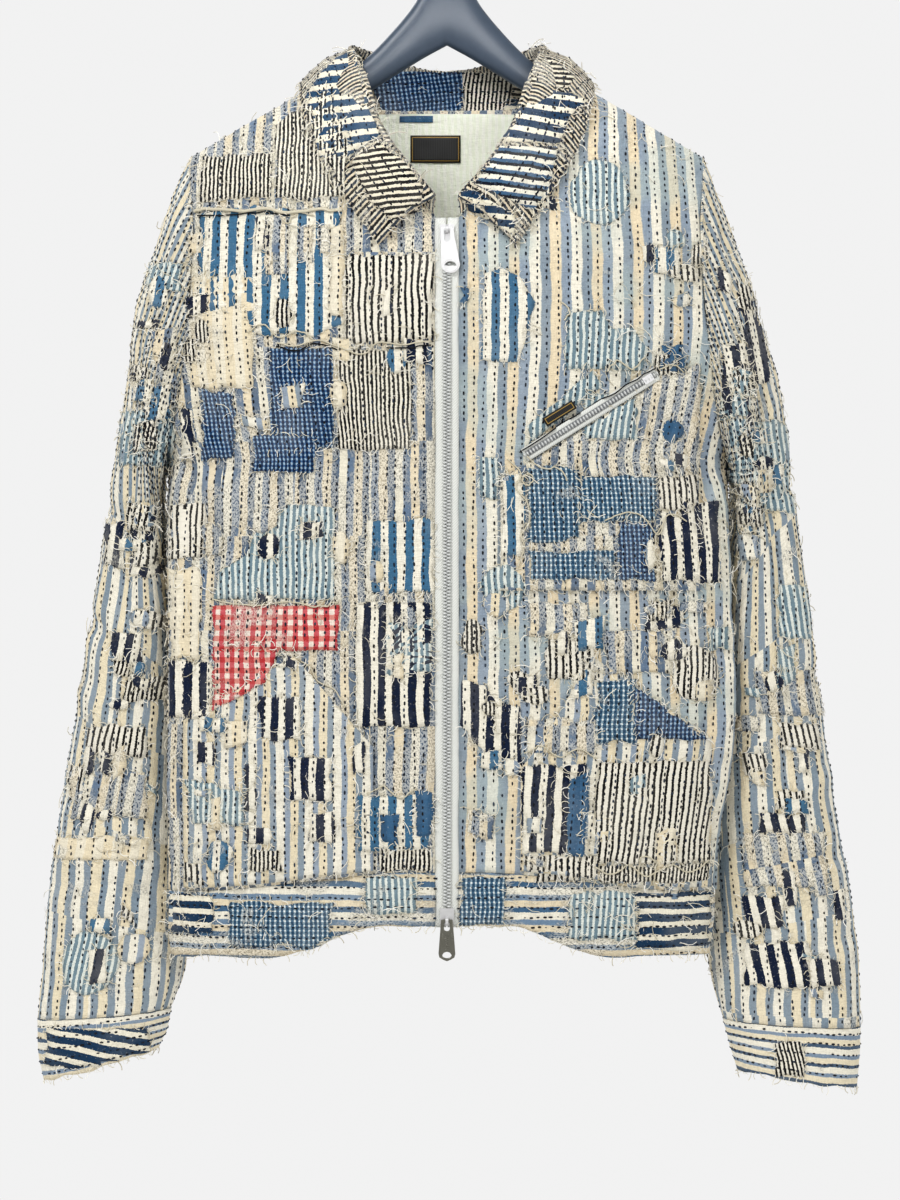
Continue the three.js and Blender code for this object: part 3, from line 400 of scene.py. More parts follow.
def cotton(name, bands, pitch, turned=False, check=None, wear=0.4, worn=("#F4EFE0", "#262F40"),
           slub=0.22, patchy=0.0, tint=None):
    """Worn yarn-dyed cotton. bands are a ramp over one repeat of pitch millimetres, along the
    cloth's u, or its v where turned. The weave is drawn about twice as coarse as the real
    0.4 mm yarn so that it shows. Where the top cloth has rubbed through, the layer below
    shows as specks of dark yarn in cream."""
    material, tree, shader = surface(name)
    uv = add(tree, "ShaderNodeUVMap", uv_map="weave").outputs[0]
    mm = add(tree, "ShaderNodeMapping", {"Vector": uv, "Scale": (1000, 1000, 1000)}).outputs[0]
    axes = add(tree, "ShaderNodeSeparateXYZ", {0: mm})
    across, along = (axes.outputs[1], axes.outputs[0]) if turned else (axes.outputs[0], axes.outputs[1])

    def noise(scale, detail=2.0, rough=0.5, vector=mm):
        node = add(tree, "ShaderNodeTexNoise", {"Vector": vector, "Scale": scale, "Detail": detail,
                                                "Roughness": rough})
        return node.outputs[0]
    stretched = add(tree, "ShaderNodeMapping", {
        "Vector": mm, "Scale": (0.12, 1.6, 1) if turned else (1.6, 0.12, 1)}).outputs[0]
    crossed = add(tree, "ShaderNodeMapping", {
        "Vector": mm, "Scale": (1.6, 0.12, 1) if turned else (0.12, 1.6, 1)}).outputs[0]
    drift = maths(tree, "MULTIPLY_ADD", noise(0.03), 5.0, -2.5)
    fray = maths(tree, "MULTIPLY_ADD", noise(0.7, 1.0), 1.3, -0.65)
    shifted = maths(tree, "ADD", maths(tree, "ADD", across, drift), fray)
    if patchy:
        cell_u = maths(tree, "FLOOR", maths(tree, "DIVIDE", maths(tree, "ADD", axes.outputs[0], fray), 58.0))
        cell_v = maths(tree, "FLOOR", maths(tree, "DIVIDE", maths(tree, "ADD", axes.outputs[1], fray), 71.0))
        cell = add(tree, "ShaderNodeCombineXYZ", {0: cell_u, 1: cell_v}).outputs[0]
        chance = add(tree, "ShaderNodeTexWhiteNoise", {"Vector": cell}, noise_dimensions="3D")
        shifted = maths(tree, "MULTIPLY_ADD", chance.outputs[0], pitch * patchy, shifted)
    phase = maths(tree, "FRACT", maths(tree, "DIVIDE", shifted, pitch))
    base = ramp(tree, phase, bands)
    if check:
        crossing = maths(tree, "FRACT", maths(tree, "DIVIDE", maths(tree, "ADD", along, fray), pitch))
        base = blend(tree, 1.0, base, ramp(tree, crossing, check), "MULTIPLY")
    warp = noise(1.0, 2.0, 0.6, stretched)
    weft = noise(1.0, 2.0, 0.6, crossed)
    yarn = maths(tree, "ADD", warp, weft)
    light = maths(tree, "MULTIPLY_ADD", yarn, 2 * slub, 1 - 2 * slub)
    light_rgb = add(tree, "ShaderNodeCombineColor", {0: light, 1: light, 2: light}).outputs[0]
    base = blend(tree, 1.0, base, light_rgb, "MULTIPLY")
    faded = noise(0.016, 3.0, 0.6)
    base = blend(tree, maths(tree, "MULTIPLY", step(tree, faded, 0.45, 0.75), 0.14), base, colour("#F7F3E7"))
    if tint:
        base = blend(tree, maths(tree, "MULTIPLY", step(tree, noise(0.02, 2.0), 0.5, 0.62), 0.45),
                     base, colour(tint))
    # rubbed places, and the specks in them
    rubbed = step(tree, maths(tree, "ADD", noise(0.024, 4.0, 0.6), maths(tree, "MULTIPLY", warp, 0.12)),
                  0.80 - 0.32 * wear, 0.86 - 0.32 * wear)
    speck_map = add(tree, "ShaderNodeMapping", {
        "Vector": mm, "Scale": (0.6, 0.95, 1) if turned else (0.95, 0.6, 1)}).outputs[0]
    specks = noise(1.0, 1.0, 0.5, speck_map)
    # close rows of tiny stitches gather the specks into lines of dots
    row = maths(tree, "SINE", maths(tree, "MULTIPLY", shifted, 2 * math.pi / DOT_ROW))
    sway = maths(tree, "MULTIPLY", noise(0.3), 9.0)
    dash = maths(tree, "SINE", maths(tree, "MULTIPLY_ADD", along, 2 * math.pi / DOT_PITCH, sway))
    specks = maths(tree, "MULTIPLY_ADD", maths(tree, "MULTIPLY", row, dash), 0.075, specks)
    dots = ramp(tree, specks, [(0.39, worn[1]), (0.43, "#6A7584"), (0.47, worn[0]), (0.60, "#FCF9EF")])
    underlay = blend(tree, 0.5, dots, base)
    base = blend(tree, maths(tree, "MULTIPLY", rubbed, 0.85), base, underlay)
    lint = step(tree, noise(0.5, 3.0, 0.7), 0.62, 0.70)
    base = blend(tree, maths(tree, "MULTIPLY", lint, 0.35), base, colour("#F8F4E8"))
    tree.links.new(base, shader.inputs["Base Color"])
    shader.inputs["Roughness"].default_value = 0.92
    shader.inputs["Sheen Weight"].default_value = 0.12
    shader.inputs["Specular IOR Level"].default_value = 0.25
    depth = maths(tree, "MULTIPLY_ADD", rubbed, 1.6, 0.6)
    relief = maths(tree, "ADD", maths(tree, "MULTIPLY", specks, depth), yarn)
    relief = maths(tree, "ADD", relief, maths(tree, "MULTIPLY", noise(0.22, 3.0), 2.2))
    bump = add(tree, "ShaderNodeBump", {"Strength": 0.6, "Distance": 0.0014, "Height": relief})
    tree.links.new(bump.outputs[0], shader.inputs["Normal"])
    return material


def hard_bands(*parts):
    """Ramp stops for flat stripes: (share of the repeat, colour) in order."""
    stops, at = [], 0.0
    for share, code in parts:
        stops += [(at + 0.012, code), (at + share - 0.012, code)]
        at += share
    return stops


MATERIALS = {
    # wide cream and blue-grey stripes of the left front and the sleeves
    "wide_stripe": cotton("yarn-dyed striped cotton, wide", hard_bands(
        (0.26, CREAM), (0.24, BLUE_GREY), (0.26, PINK_CREAM), (0.24, "#9CAABA")), 29.6, wear=0.3,
        tint="#BFCDCA"),
    "sleeve_stripe": cotton("yarn-dyed striped cotton, sleeves", hard_bands(
        (0.28, CREAM), (0.22, BLUE_GREY), (0.28, "#F1E5C9"), (0.22, "#8C9CAA")), 26, wear=0.5,
        patchy=2.0),
    "worn": cotton("rubbed striped cotton over cream wadding", hard_bands(
        (0.26, "#F4EEDC"), (0.24, "#7488A1"), (0.27, "#F0E2C6"), (0.23, "#65788F")), 24, wear=1.0,
        patchy=2.0, worn=("#F5F0E1", "#1C2433")),
    "pocket_stripe": cotton("yarn-dyed striped cotton, pockets", hard_bands(
        (0.3, CREAM), (0.2, "#9CAABB"), (0.28, "#F0E3C6"), (0.22, BLUE_GREY)), 21.2, wear=0.4),
    "blue_white": cotton("blue and white striped cotton", hard_bands(
        (0.5, CREAM), (0.5, "#4A7899")), 12.6, wear=0.36, slub=0.34),
    "navy_cream": cotton("navy and cream striped cotton", hard_bands(
        (0.48, CREAM), (0.52, NAVY)), 11.4, wear=0.3),
    "pinstripe": cotton("black and cream ticking", hard_bands(
        (0.5, "#F3EEE0"), (0.5, BLACK)), 3.15, wear=0.22, slub=0.1),
    "bold_pinstripe": cotton("black and cream ticking, bold", hard_bands(
        (0.62, "#F4EFE2"), (0.38, BLACK)), 4.7, wear=0.3, slub=0.1),
    "light_blue": cotton("light blue pinstriped cotton", hard_bands(
        (0.44, "#E6ECE6"), (0.56, "#7B93A0")), 4.6, wear=0.34),
    "indigo_check": cotton("fine indigo checked cotton", hard_bands(
        (0.4, "#AAC2D8"), (0.6, "#23486B")), 3.3, check=hard_bands((0.46, "#FFFFFF"), (0.54, "#7596B8")),
        wear=0.08, slub=0.1),
    "pale_check": cotton("faded indigo checked cotton", hard_bands(
        (0.38, "#E9EFF0"), (0.62, "#50758F")), 3.6, check=hard_bands((0.36, "#FFFFFF"), (0.64, "#9AB1C2")),
        wear=0.5, slub=0.1),
    "gingham": cotton("red gingham", hard_bands(
        (0.5, "#F6E8DC"), (0.5, "#D2626A")), 8.0, check=hard_bands((0.5, "#FFFFFF"), (0.5, "#EAA5A2")),
        wear=0.6, worn=("#F3E8D6", "#B56A70")),
    "solid_blue": cotton("faded solid blue cotton", hard_bands((0.5, "#446D90"), (0.5, "#3D6486")), 9,
                         wear=0.35),
    "cream": cotton("cream mending cloth", hard_bands((0.5, "#F2EAD6"), (0.5, "#EFE2C6")), 14, wear=0.5),
    "band_stripe": cotton("striped cotton turned for the waistband", hard_bands(
        (0.3, CREAM), (0.22, "#7D95AE"), (0.26, "#F0E2C6"), (0.22, "#4F7292")), 19, turned=True, wear=0.8),
    "cuff_stripe": cotton("striped cotton turned for the cuffs", hard_bands(
        (0.32, CREAM), (0.2, "#8B9DB2"), (0.3, "#F1E6CC"), (0.18, "#52677F")), 14, turned=True, wear=0.4),
    "navy_turned": cotton("navy and cream striped cotton, turned", hard_bands(
        (0.42, "#F4EEDC"), (0.58, "#1D3F5E")), 9.6, turned=True, wear=0.12),
    "collar_stripe": cotton("blue and cream striped cotton of the collar", hard_bands(
        (0.46, "#EFE8D6"), (0.54, "#2B5070")), 10.2, turned=True, wear=0.12),
    "collar_worn": cotton("rubbed cotton of the collar", hard_bands(
        (0.24, "#E4DCC9"), (0.26, "#3B444F"), (0.22, "#DFD2BA"), (0.28, "#101318")), 7.5, turned=True,
        wear=0.8, worn=("#F3EDDC", "#0D1016")),
    "collar_blue": cotton("rubbed blue striped cotton of the collar", hard_bands(
        (0.42, "#F1EDE0"), (0.3, "#44698A"), (0.28, "#121A29")), 8.2, turned=True, wear=0.4,
        worn=("#F2EDE0", "#1C2536")),
    "collar_ticking": cotton("black and cream ticking, turned", hard_bands(
        (0.48, "#EDE5D2"), (0.52, BLACK)), 4.4, turned=True, wear=0.06, slub=0.1),
    # The lining's colours are near-white, lighter than its sage grey cloth: painted light that makes up for
    # the shade of the hanger and collar inside the neck.
    "lining": cotton("sage cotton lining, lightened as painted light", hard_bands(
        (0.5, "#F6FAE8"), (0.5, "#FBFDF0")), 5, wear=0.0, slub=0.14),
}


def thread(name, stops):
    """Matt cotton thread; its tone differs from strand to strand."""
    material, tree, shader = surface(name)
    tone = add(tree, "ShaderNodeAttribute", attribute_name="tone").outputs["Fac"]
    where = add(tree, "ShaderNodeTexCoord").outputs["Object"]
    twist = add(tree, "ShaderNodeTexNoise", {"Vector": where, "Scale": 1500.0, "Detail": 1.0}).outputs[0]
    shade = maths(tree, "MULTIPLY_ADD", twist, 0.3, maths(tree, "SUBTRACT", tone, 0.15))
    tree.links.new(ramp(tree, shade, stops), shader.inputs["Base Color"])
    shader.inputs["Roughness"].default_value = 0.85
    bump = add(tree, "ShaderNodeBump", {"Strength": 0.4, "Distance": 0.0003, "Height": twist})
    tree.links.new(bump.outputs[0], shader.inputs["Normal"])
    return material


# Its dark thread also draws painted shadow lines below raised edges on the front.
STITCH = thread("navy sashiko thread, also painted shadow lines", [
    (0.0, "#0E0F13"), (0.4, "#151A27"), (0.75, "#1F2B3F"), (1.0, "#3D4A5C")])
FRAY = thread("cream frayed yarn", [
    (0.0, "#CFC8B4"), (0.35, "#EBE5D4"), (0.7, "#F9F5EA"), (1.0, "#FFFDF7")])


def metal(name, code, roughness, metallic=1.0, spread=0.08):
    """Cast or plated metal with faint uneven polish."""
    material, tree, shader = surface(name)
    where = add(tree, "ShaderNodeTexCoord").outputs["Object"]
    smear = add(tree, "ShaderNodeTexNoise", {"Vector": where, "Scale": 260.0, "Detail": 4.0}).outputs[0]
    polish = maths(tree, "MULTIPLY_ADD", smear, 2 * spread, roughness - spread)
    tree.links.new(polish, shader.inputs["Roughness"])
    base = colour(code)
    dark = [c * 0.82 for c in base[:3]] + [1]
    tree.links.new(blend(tree, smear, dark, base), shader.inputs["Base Color"])
    shader.inputs["Metallic"].default_value = metallic
    bump = add(tree, "ShaderNodeBump", {"Strength": 0.12, "Distance": 0.0002, "Height": smear})
    tree.links.new(bump.outputs[0], shader.inputs["Normal"])
    return material


# die-cast zinc with a pale matt plating
ZINC = metal("matt silver plated zinc", "#E4E4E6", 0.4, 0.55)
# the top pull is enamelled white over the zinc
ENAMEL = metal("white enamelled zinc", "#F3F3F5", 0.3, 0.0, 0.04)
# the bottom pull's darker nickel
GUNMETAL = metal("gunmetal plated zinc", "#8E8D85", 0.3)
TEETH = metal("pale moulded zip teeth", "#E6E8E8", 0.45, 0.15)
STEEL = metal("bright zinc plated steel wire", "#C3C6CA", 0.22)
# satin sprayed wood or plastic: dark slate blue
HANGER = metal("satin slate lacquer", "#465262", 0.36, 0.0, 0.05)


def woven_label(name, half_length, half_width):
    """Damask woven label: fine dark ribs 0.7 mm apart inside a thin gold border line."""
    material, tree, shader = surface(name)
    uv = add(tree, "ShaderNodeUVMap", uv_map="weave").outputs[0]
    ribs = add(tree, "ShaderNodeTexWave", {"Vector": uv, "Scale": 230.0, "Distortion": 0.6})
    ground = ramp(tree, ribs.outputs[1], [(0.0, "#0B0B0C"), (1.0, "#242424")])
    axes = add(tree, "ShaderNodeSeparateXYZ", {0: uv})
    past = [maths(tree, "SUBTRACT", maths(tree, "ABSOLUTE", axes.outputs[k]), (half - 1.5) * MM)
            for k, half in enumerate((half_length, half_width))]
    rim = maths(tree, "COMPARE", maths(tree, "MAXIMUM", *past), 0.0, 0.00028)
    tree.links.new(blend(tree, rim, ground, colour("#A98B45")), shader.inputs["Base Color"])
    shader.inputs["Roughness"].default_value = 0.6
    bump = add(tree, "ShaderNodeBump", {"Strength": 0.4, "Distance": 0.0002, "Height": ribs.outputs[1]})
    tree.links.new(bump.outputs[0], shader.inputs["Normal"])
    return material


def tape():
    """Herringbone woven polyester zip tape, off-white."""
    material, tree, shader = surface("off-white herringbone zip tape")
    uv = add(tree, "ShaderNodeUVMap", uv_map="weave").outputs[0]
    ribs = add(tree, "ShaderNodeTexWave", {"Vector": uv, "Scale": 300.0, "Distortion": 1.5},
               bands_direction="DIAGONAL")
    white = ramp(tree, ribs.outputs[1], [(0.0, "#D6D8D4"), (1.0, "#E8EAE6")])
    tree.links.new(white, shader.inputs["Base Color"])
    shader.inputs["Roughness"].default_value = 0.8
    bump = add(tree, "ShaderNodeBump", {"Strength": 0.5, "Distance": 0.0003, "Height": ribs.outputs[1]})
    tree.links.new(bump.outputs[0], shader.inputs["Normal"])
    return material


TAPE = tape()
# A grey strip under the chest zip's coil: painted shade that darkens the gaps between the coil's turns, where
# the real zip shows only shadow.
COIL_GAP_SHADE = cotton("grey painted shade under the coil zip", hard_bands(
    (0.5, "#8C8F92"), (0.5, "#7F8286")), 3, wear=0.0, slub=0.1)
NECK_LABEL = woven_label("black damask neck label", 19.5, 10.5)
POCKET_LABEL = woven_label("black damask pocket label", 13, 3.6)

# ---- fronts and back


def panel(side, face, inner, top_of, bottom_of, columns=62, upper=60, lower=72):
    share = np.linspace(0, 1, columns + 1)

    def turn_at(drop):
        width = width_at(side, face, drop)
        limit = np.where(drop >= ARMPIT_DROP, QUARTER, turn_for(armhole_half(drop), width))
        return mix(turn_for(inner, width), limit, share)
    top = np.full(share.shape, 200.0)
    for _ in range(24):
        across = width_at(side, face, top) * np.sin(turn_at(top)) ** (2 / BODY_POWER)
        top = mix(top, top_of(np.minimum(across, SHOULDER_HALF)), 0.6)
    end = bottom_of(body_point(1, face, turn_at(np.full(share.shape, ARMPIT_DROP)), ARMPIT_DROP)[:, 0])
    high = top + (ARMPIT_DROP - top) * (np.linspace(0, 1, upper + 1)[:, None] ** 1.4)
    low = ARMPIT_DROP + (end - ARMPIT_DROP) * np.linspace(0, 1, lower + 1)[1:, None]
    drops = np.concatenate([high, low])
    turn = turn_at(drops)
    return body_point(side, face, turn, drops), side * girth(turn), drops


def finish_body(points, u, drops, face, seed):
    cloth = Cloth(points, u, drops, OUTWARD[face])
    gather = np.cos(2 * np.pi * u / GATHER_PITCH + 2 * value_noise(u / 30, drops / 90, 3)) \
        * np.exp(-np.maximum(BAND_DROP - drops, 0) / GATHER_REACH)
    edge = np.minimum(np.arange(points.shape[0])[:, None] / 3, 1)
    cloth.raise_by((puckers(u, drops, seed) + folds(points[..., 0], drops) + gather) * edge)
    return cloth


def level_at(drop):
    return lambda x: drop + 0 * x


def one_front(make, side, top_of, bottom_of):
    points, u, drops = make(side, "front", PANEL_EDGE, top_of, bottom_of)
    points[..., 1] = np.minimum(points[..., 1], -SEAM_GAP)
    return points, u, drops


def whole_back(make, top_of, bottom_of):
    """Both halves of a back piece as one grid."""
    halves = [make(side, "back", 0, top_of, bottom_of) for side in (-1, 1)]
    points, u, drops = [np.concatenate([a[:, :0:-1], b], axis=1) for a, b in zip(*halves)]
    points[..., 1] = np.maximum(points[..., 1], SEAM_GAP)
    return points, u, drops


cloths = {}
for side, name in SIDES:
    grid = one_front(panel, side, front_top, lambda x: front_band_top(x) - BAND_GAP)
    cloths["front_" + name] = finish_body(*grid, "front", 3 + side)
cloths["back"] = finish_body(*whole_back(panel, back_top, level_at(BAND_DROP - BAND_GAP)), "back", 9)

pieces = {
    "front_right": cloths["front_right"].build("front_right_panel", MATERIALS["worn"]),
    "front_left": cloths["front_left"].build("front_left_panel", MATERIALS["wide_stripe"]),
    "back": cloths["back"].build("back_panel", MATERIALS["worn"]),
}

# ---- waistband


def band(side, face, inner, top_of, bottom_of, columns=62, rows=10):
    share = np.linspace(0, 1, columns + 1)
    across = mix(turn_for(inner, width_at(side, face, ARMPIT_DROP)), QUARTER, share)
    rough = body_point(1, face, across, ARMPIT_DROP)[:, 0]
    drops = top_of(rough) + (bottom_of(rough) - top_of(rough)) * np.linspace(0, 1, rows + 1)[:, None]
    turn = mix(turn_for(inner, width_at(side, face, drops)), QUARTER, share)
    return body_point(side, face, turn, drops), side * girth(turn), drops


def finish_band(points, u, drops, face, seed):
    cloth = Cloth(points, u, drops, OUTWARD[face])
    along = np.linspace(0, 1, len(points))[:, None]
    roll = 1.6 * np.sin(np.pi * along) - 0.4
    cloth.raise_by(roll + 0.6 * puckers(u, drops, seed) + 0.5 * np.cos(2 * np.pi * u / 7.5))
    cloth.points[-1, :, 2] += 1.2 * value_noise(u[-1] / 14, u[-1] * 0, seed)
    return cloth


for side, name in SIDES:
    grid = one_front(band, side, front_band_top, front_hem)
    cloths["waistband_" + name] = finish_band(*grid, "front", 20 + side)
grid = whole_back(band, level_at(BAND_DROP), level_at(BACK_HEM_DROP))
cloths["waistband_back"] = finish_band(*grid, "back", 24)
for name in ("right", "left", "back"):
    pieces["waistband_" + name] = cloths["waistband_" + name].build(
        f"waistband_{name}_cloth", MATERIALS["band_stripe"], 2.6)

# ---- sleeves and cuffs

# outer point and underarm point (distance from the centre line, drop), half depth, and how far
# the sleeve's middle lies behind the side seam
SLEEVES = {
    -1: [((196, 206), (214, 440), 37, 0),
         ((205, 227), (216, 446), 39, 0), ((218, 262), (217.5, 453), 43, 2), ((230, 293), (218, 461), 46, 5),
         ((239, 327), (218, 471), 48, 9), ((244, 372), (217, 486), 49, 13), ((251, 420), (215, 508), 49, 18),
         ((259, 470), (212, 538), 48, 23), ((268, 530), (209, 580), 46, 26), ((279, 590), (206, 630), 43, 27),
         ((290, 650), (203, 685), 40, 27), ((299, 710), (201, 740), 37, 25), ((307, 770), (199, 792), 35, 20),
         ((312, 825), (203, 832), 33, 14), ((315, 866), (212, 858), 31, 9)],
    1: [((196, 206), (214, 440), 37, 0),
        ((204, 227), (216, 446), 39, 0), ((217, 262), (217.5, 453), 43, 2), ((229, 293), (219, 461), 46, 5),
        ((240, 327), (220, 471), 48, 9), ((250, 372), (219, 486), 49, 13), ((259, 420), (217, 508), 49, 18),
        ((266, 470), (214, 538), 48, 23), ((276, 530), (211, 580), 46, 26), ((284, 590), (208, 630), 43, 27),
        ((293, 650), (205, 685), 40, 27), ((301, 710), (202, 740), 37, 25), ((311, 770), (199, 792), 35, 20),
        ((317, 825), (202, 832), 33, 14), ((318, 872), (212, 866), 31, 9)],
}
CUFFS = {
    -1: [((315, 866.5), (212, 858.5), 31, 9), ((314, 890), (215, 873), 30, 7),
         ((309, 913), (222, 888), 28, 5)],
    1: [((318, 872.5), (212, 866.5), 31, 9), ((317, 896), (217, 884), 30, 7),
        ((315, 918), (223, 904), 28, 5)],
}
SLEEVE_POWER = 2.3
RINGS_TO_SETTLE = 4
AROUND, SLEEVE_ROWS, CUFF_ROWS = 84, 130, 14


def resample(points, count):
    """A smooth run of count rows through rows of numbers."""
    points = np.asarray(points, float)
    at = np.linspace(0, len(points) - 1, count)
    flat = points.reshape(len(points), -1)
    columns = [through(list(zip(range(len(points)), column)))(at) for column in flat.T]
    return np.stack(columns, -1).reshape((count,) + points.shape[1:])


def sleeve_rings(side, rings, count, settle):
    numbers = resample([(o[0], o[1], w[0], w[1], half, back) for o, w, half, back in rings], count)
    index = np.linspace(0, len(rings) - 1, count)[:, None]
    settled = smooth(index / RINGS_TO_SETTLE) if settle else np.ones((count, 1))
    step_round = np.arange(AROUND) / AROUND * 2
    share = np.where(step_round <= 1, step_round, 2 - step_round)[None, :]
    facing = np.where(step_round <= 1, -1.0, 1.0)[None, :]
    edge = share ** 1.4
    hole_drop = mix(SHOULDER_DROP, ARMPIT_DROP, edge)
    hole = [body_point(side, face, turn_for(armhole_half(hole_drop), width_at(side, face, hole_drop)),
                       hole_drop) for face in ("front", "back")]
    hole_x, hole_y = [np.where(facing < 0, hole[0][..., k], hole[1][..., k]) for k in (0, 1)]
    hole_x = np.abs(hole_x)
    ends = (share < 1e-6) | (share > 1 - 1e-6)
    hole_y = np.where(ends, 0, hole_y)
    ox, od, wx, wd, half, back = [numbers[:, k:k + 1] for k in range(6)]
    down = mix(edge, (1 - np.cos(np.pi * share)) / 2, settled)
    depth = half * superellipse(np.cos(np.pi * share), SLEEVE_POWER)
    bow = hole_x - mix(SHOULDER_HALF, ARMPIT_HALF, edge)
    x = mix(ox, wx, down) + bow * (1 - settled)
    y = mix(hole_y * half / 37, facing * depth, settled) + back
    return np.stack([side * x, y, -mix(od, wd, down)], -1)


def tube(points, seed, strength=1.0):
    """A sleeve's or cuff's outer cloth; u runs round it from the outer fold."""
    steps = np.linalg.norm(np.diff(points, axis=1), axis=-1)
    u = np.concatenate([np.zeros((len(points), 1)), np.cumsum(steps, axis=1)], axis=1)
    middle = points.mean(axis=1)
    lengths = np.concatenate([[0], np.cumsum(np.linalg.norm(np.diff(middle, axis=0), axis=-1))])
    v = np.repeat(lengths[:, None], points.shape[1], axis=1)
    cloth = Cloth(points, u, v, points - middle[:, None, :], closed=True)
    fade = np.minimum(np.arange(len(points))[:, None] / 4, 1)
    height = puckers(u, v, seed) + 1.15 * folds(points[..., 0], -points[..., 2])
    cloth.raise_by(height * fade * strength)
    return cloth


for side, name in SIDES:
    sleeve = tube(sleeve_rings(side, SLEEVES[side], SLEEVE_ROWS, True), 40 + side)
    cloths["sleeve_" + name] = sleeve
    cuff = tube(sleeve_rings(side, CUFFS[side], CUFF_ROWS, False), 50 + side, 0.4)
    cuff.points[-1, :, 2] += 1.5 * value_noise(cuff.u[-1] / 11, cuff.u[-1] * 0, 60 + side)
    cloths["cuff_" + name] = cuff
    pieces["sleeve_" + name] = sleeve.build(f"sleeve_{name}_cloth", MATERIALS["sleeve_stripe"])
    pieces["cuff_" + name] = cuff.build(f"cuff_{name}_cloth", MATERIALS["cuff_stripe"], 2.4)

# ---- collar


def lifted(face, x, drop, lift):
    point = on_body(face, x, drop)
    normal = np.cross(on_body(face, x + 1, drop) - point, on_body(face, x, drop + 1) - point)
    normal = normal / np.linalg.norm(normal)
    if normal[1] * (-1 if face == "front" else 1) < 0:
        normal = -normal
    return point + normal * lift


LEAF, ROLL = 4.5, 9
STATIONS = [
    (lifted("front", 10, 255.5, 1), lifted("front", 9, 241, 5), lifted("front", 52, 280, LEAF)),
    (lifted("front", 21, 243.2, 1), lifted("front", 21, 228, ROLL), lifted("front", 61, 266, LEAF)),
    (lifted("front", 38, 226.8, 1), lifted("front", 33, 213, ROLL), lifted("front", 73, 248, LEAF)),
    (lifted("front", 57, 204, 1), lifted("front", 46, 194, ROLL), lifted("front", 86, 228, LEAF)),
    (lifted("front", 72, 180.5, 1), np.array((56, -44, -173.0)), lifted("front", 97, 208, LEAF)),
    (lifted("front", 81.5, 161, 1), np.array((65, -26, -147.0)), lifted("front", 105, 188, LEAF + 1)),
    (lifted("front", 86, 150, 1), np.array((71, -13, -130.0)), lifted("front", 109, 171, LEAF + 2)),
    (np.array((86.5, 0, -141.2)), np.array((74, 0, -120.0)), np.array((112, 3, -148.0))),
    (np.array((80, 23, -149.0)), np.array((69, 24, -117.0)), np.array((108, 35, -166.0))),
    (np.array((60, 35.5, -161)), np.array((51, 37, -121.0)), lifted("back", 82, 182, 7)),
    (np.array((30, 37.5, -163.2)), np.array((27, 42, -128.0)), lifted("back", 43, 187, 9)),
    (np.array((0, 37.5, -163.2)), np.array((0, 43, -132.0)), lifted("back", 0, 188, 9)),
]


def collar_section(seam, fold, edge):
    out = np.array((fold[0], fold[1], 0.0))
    out = out / np.linalg.norm(out)
    up = np.array((0, 0, 1.0))
    return np.array([
        seam, mix(seam, fold, 0.55) - 1.5 * out, fold - 3.4 * out - 3.5 * up, fold - 1.7 * out - 0.6 * up,
        fold + 1.7 * out - 0.6 * up, fold + 3.4 * out - 3.5 * up, mix(fold, edge, 0.4) + 4.5 * out + 1.5 * up,
        mix(fold, edge, 0.72) + 2.5 * out + up, edge])


COLLAR_ROWS, COLLAR_COLUMNS, LEAF_COLUMN = 170, 34, 26
left = np.array([collar_section(*station) for station in STATIONS])
stations = np.concatenate([left, left[-2::-1] * np.array((-1, 1, 1))])
rows = resample(stations, COLLAR_ROWS)
collar_points = np.stack([resample(row, COLLAR_COLUMNS) for row in rows])
across = np.concatenate([np.zeros((COLLAR_ROWS, 1)), np.cumsum(
    np.linalg.norm(np.diff(collar_points, axis=1), axis=-1), axis=1)], axis=1)
leaf_line = collar_points[:, LEAF_COLUMN]
run = np.concatenate([[0], np.cumsum(np.linalg.norm(np.diff(leaf_line, axis=0), axis=-1))])
run = run - run[-1] / 2
collar = Cloth(collar_points, across, np.repeat(run[:, None], COLLAR_COLUMNS, axis=1), np.zeros(3))
if collar.normals[20, LEAF_COLUMN + 2][1] > 0:      # the front leaf has to face forwards
    collar.normals, collar.turned = -collar.normals, True
column = np.arange(COLLAR_COLUMNS)
inside = np.minimum(column / 6, 1) * np.minimum((COLLAR_COLUMNS - 1 - column) / 2, 1)
collar.raise_by(0.8 * puckers(across + 300, collar.v, 70) * inside[None, :])
ragged = 1.1 * value_noise(run / 9, run * 0, 71)
collar.points[:, -1] += (collar.points[:, -1] - collar.points[:, -3]) * (ragged / 9)[:, None]
cloths["collar"] = collar
pieces["collar"] = collar.build("collar_cloth", MATERIALS["collar_worn"])

# ---- pockets


def straight(corners):
    at, value = np.array(corners, float).T
    return lambda x: np.interp(x, at, value)


ON_PANEL = 2.0
chest_zip_drop = straight([(40, 448), (58, 437), (157, 375), (192, 364)])


def pocket(x0, x1, top_of, bottom_of, seed, columns, rows):
    x = np.linspace(x0, x1, columns + 1)[None, :]
    drops = top_of(x) + (bottom_of(x) - top_of(x)) * np.linspace(0, 1, rows + 1)[:, None]
    x = x + 0 * drops
    side = 1 if x0 > 0 else -1
    turn = turn_for(x, width_at(side, "front", drops))
    points = body_point(side, "front", turn, drops)
    cloth = Cloth(points, side * girth(turn), drops, OUTWARD["front"])
    body_seed = 3 + side
    row, column = np.indices(x.shape)
    rim = np.minimum.reduce([row, rows - row, column, columns - column])
    hem = 0.8 * np.exp(-((rim - 1.5) / 1.2) ** 2)
    cloth.raise_by(ON_PANEL + 0.3 + puckers(cloth.u, drops, body_seed) + folds(x, drops)
                   + 0.5 * value_noise(x / 9, drops / 9, seed) + hem)
    return cloth


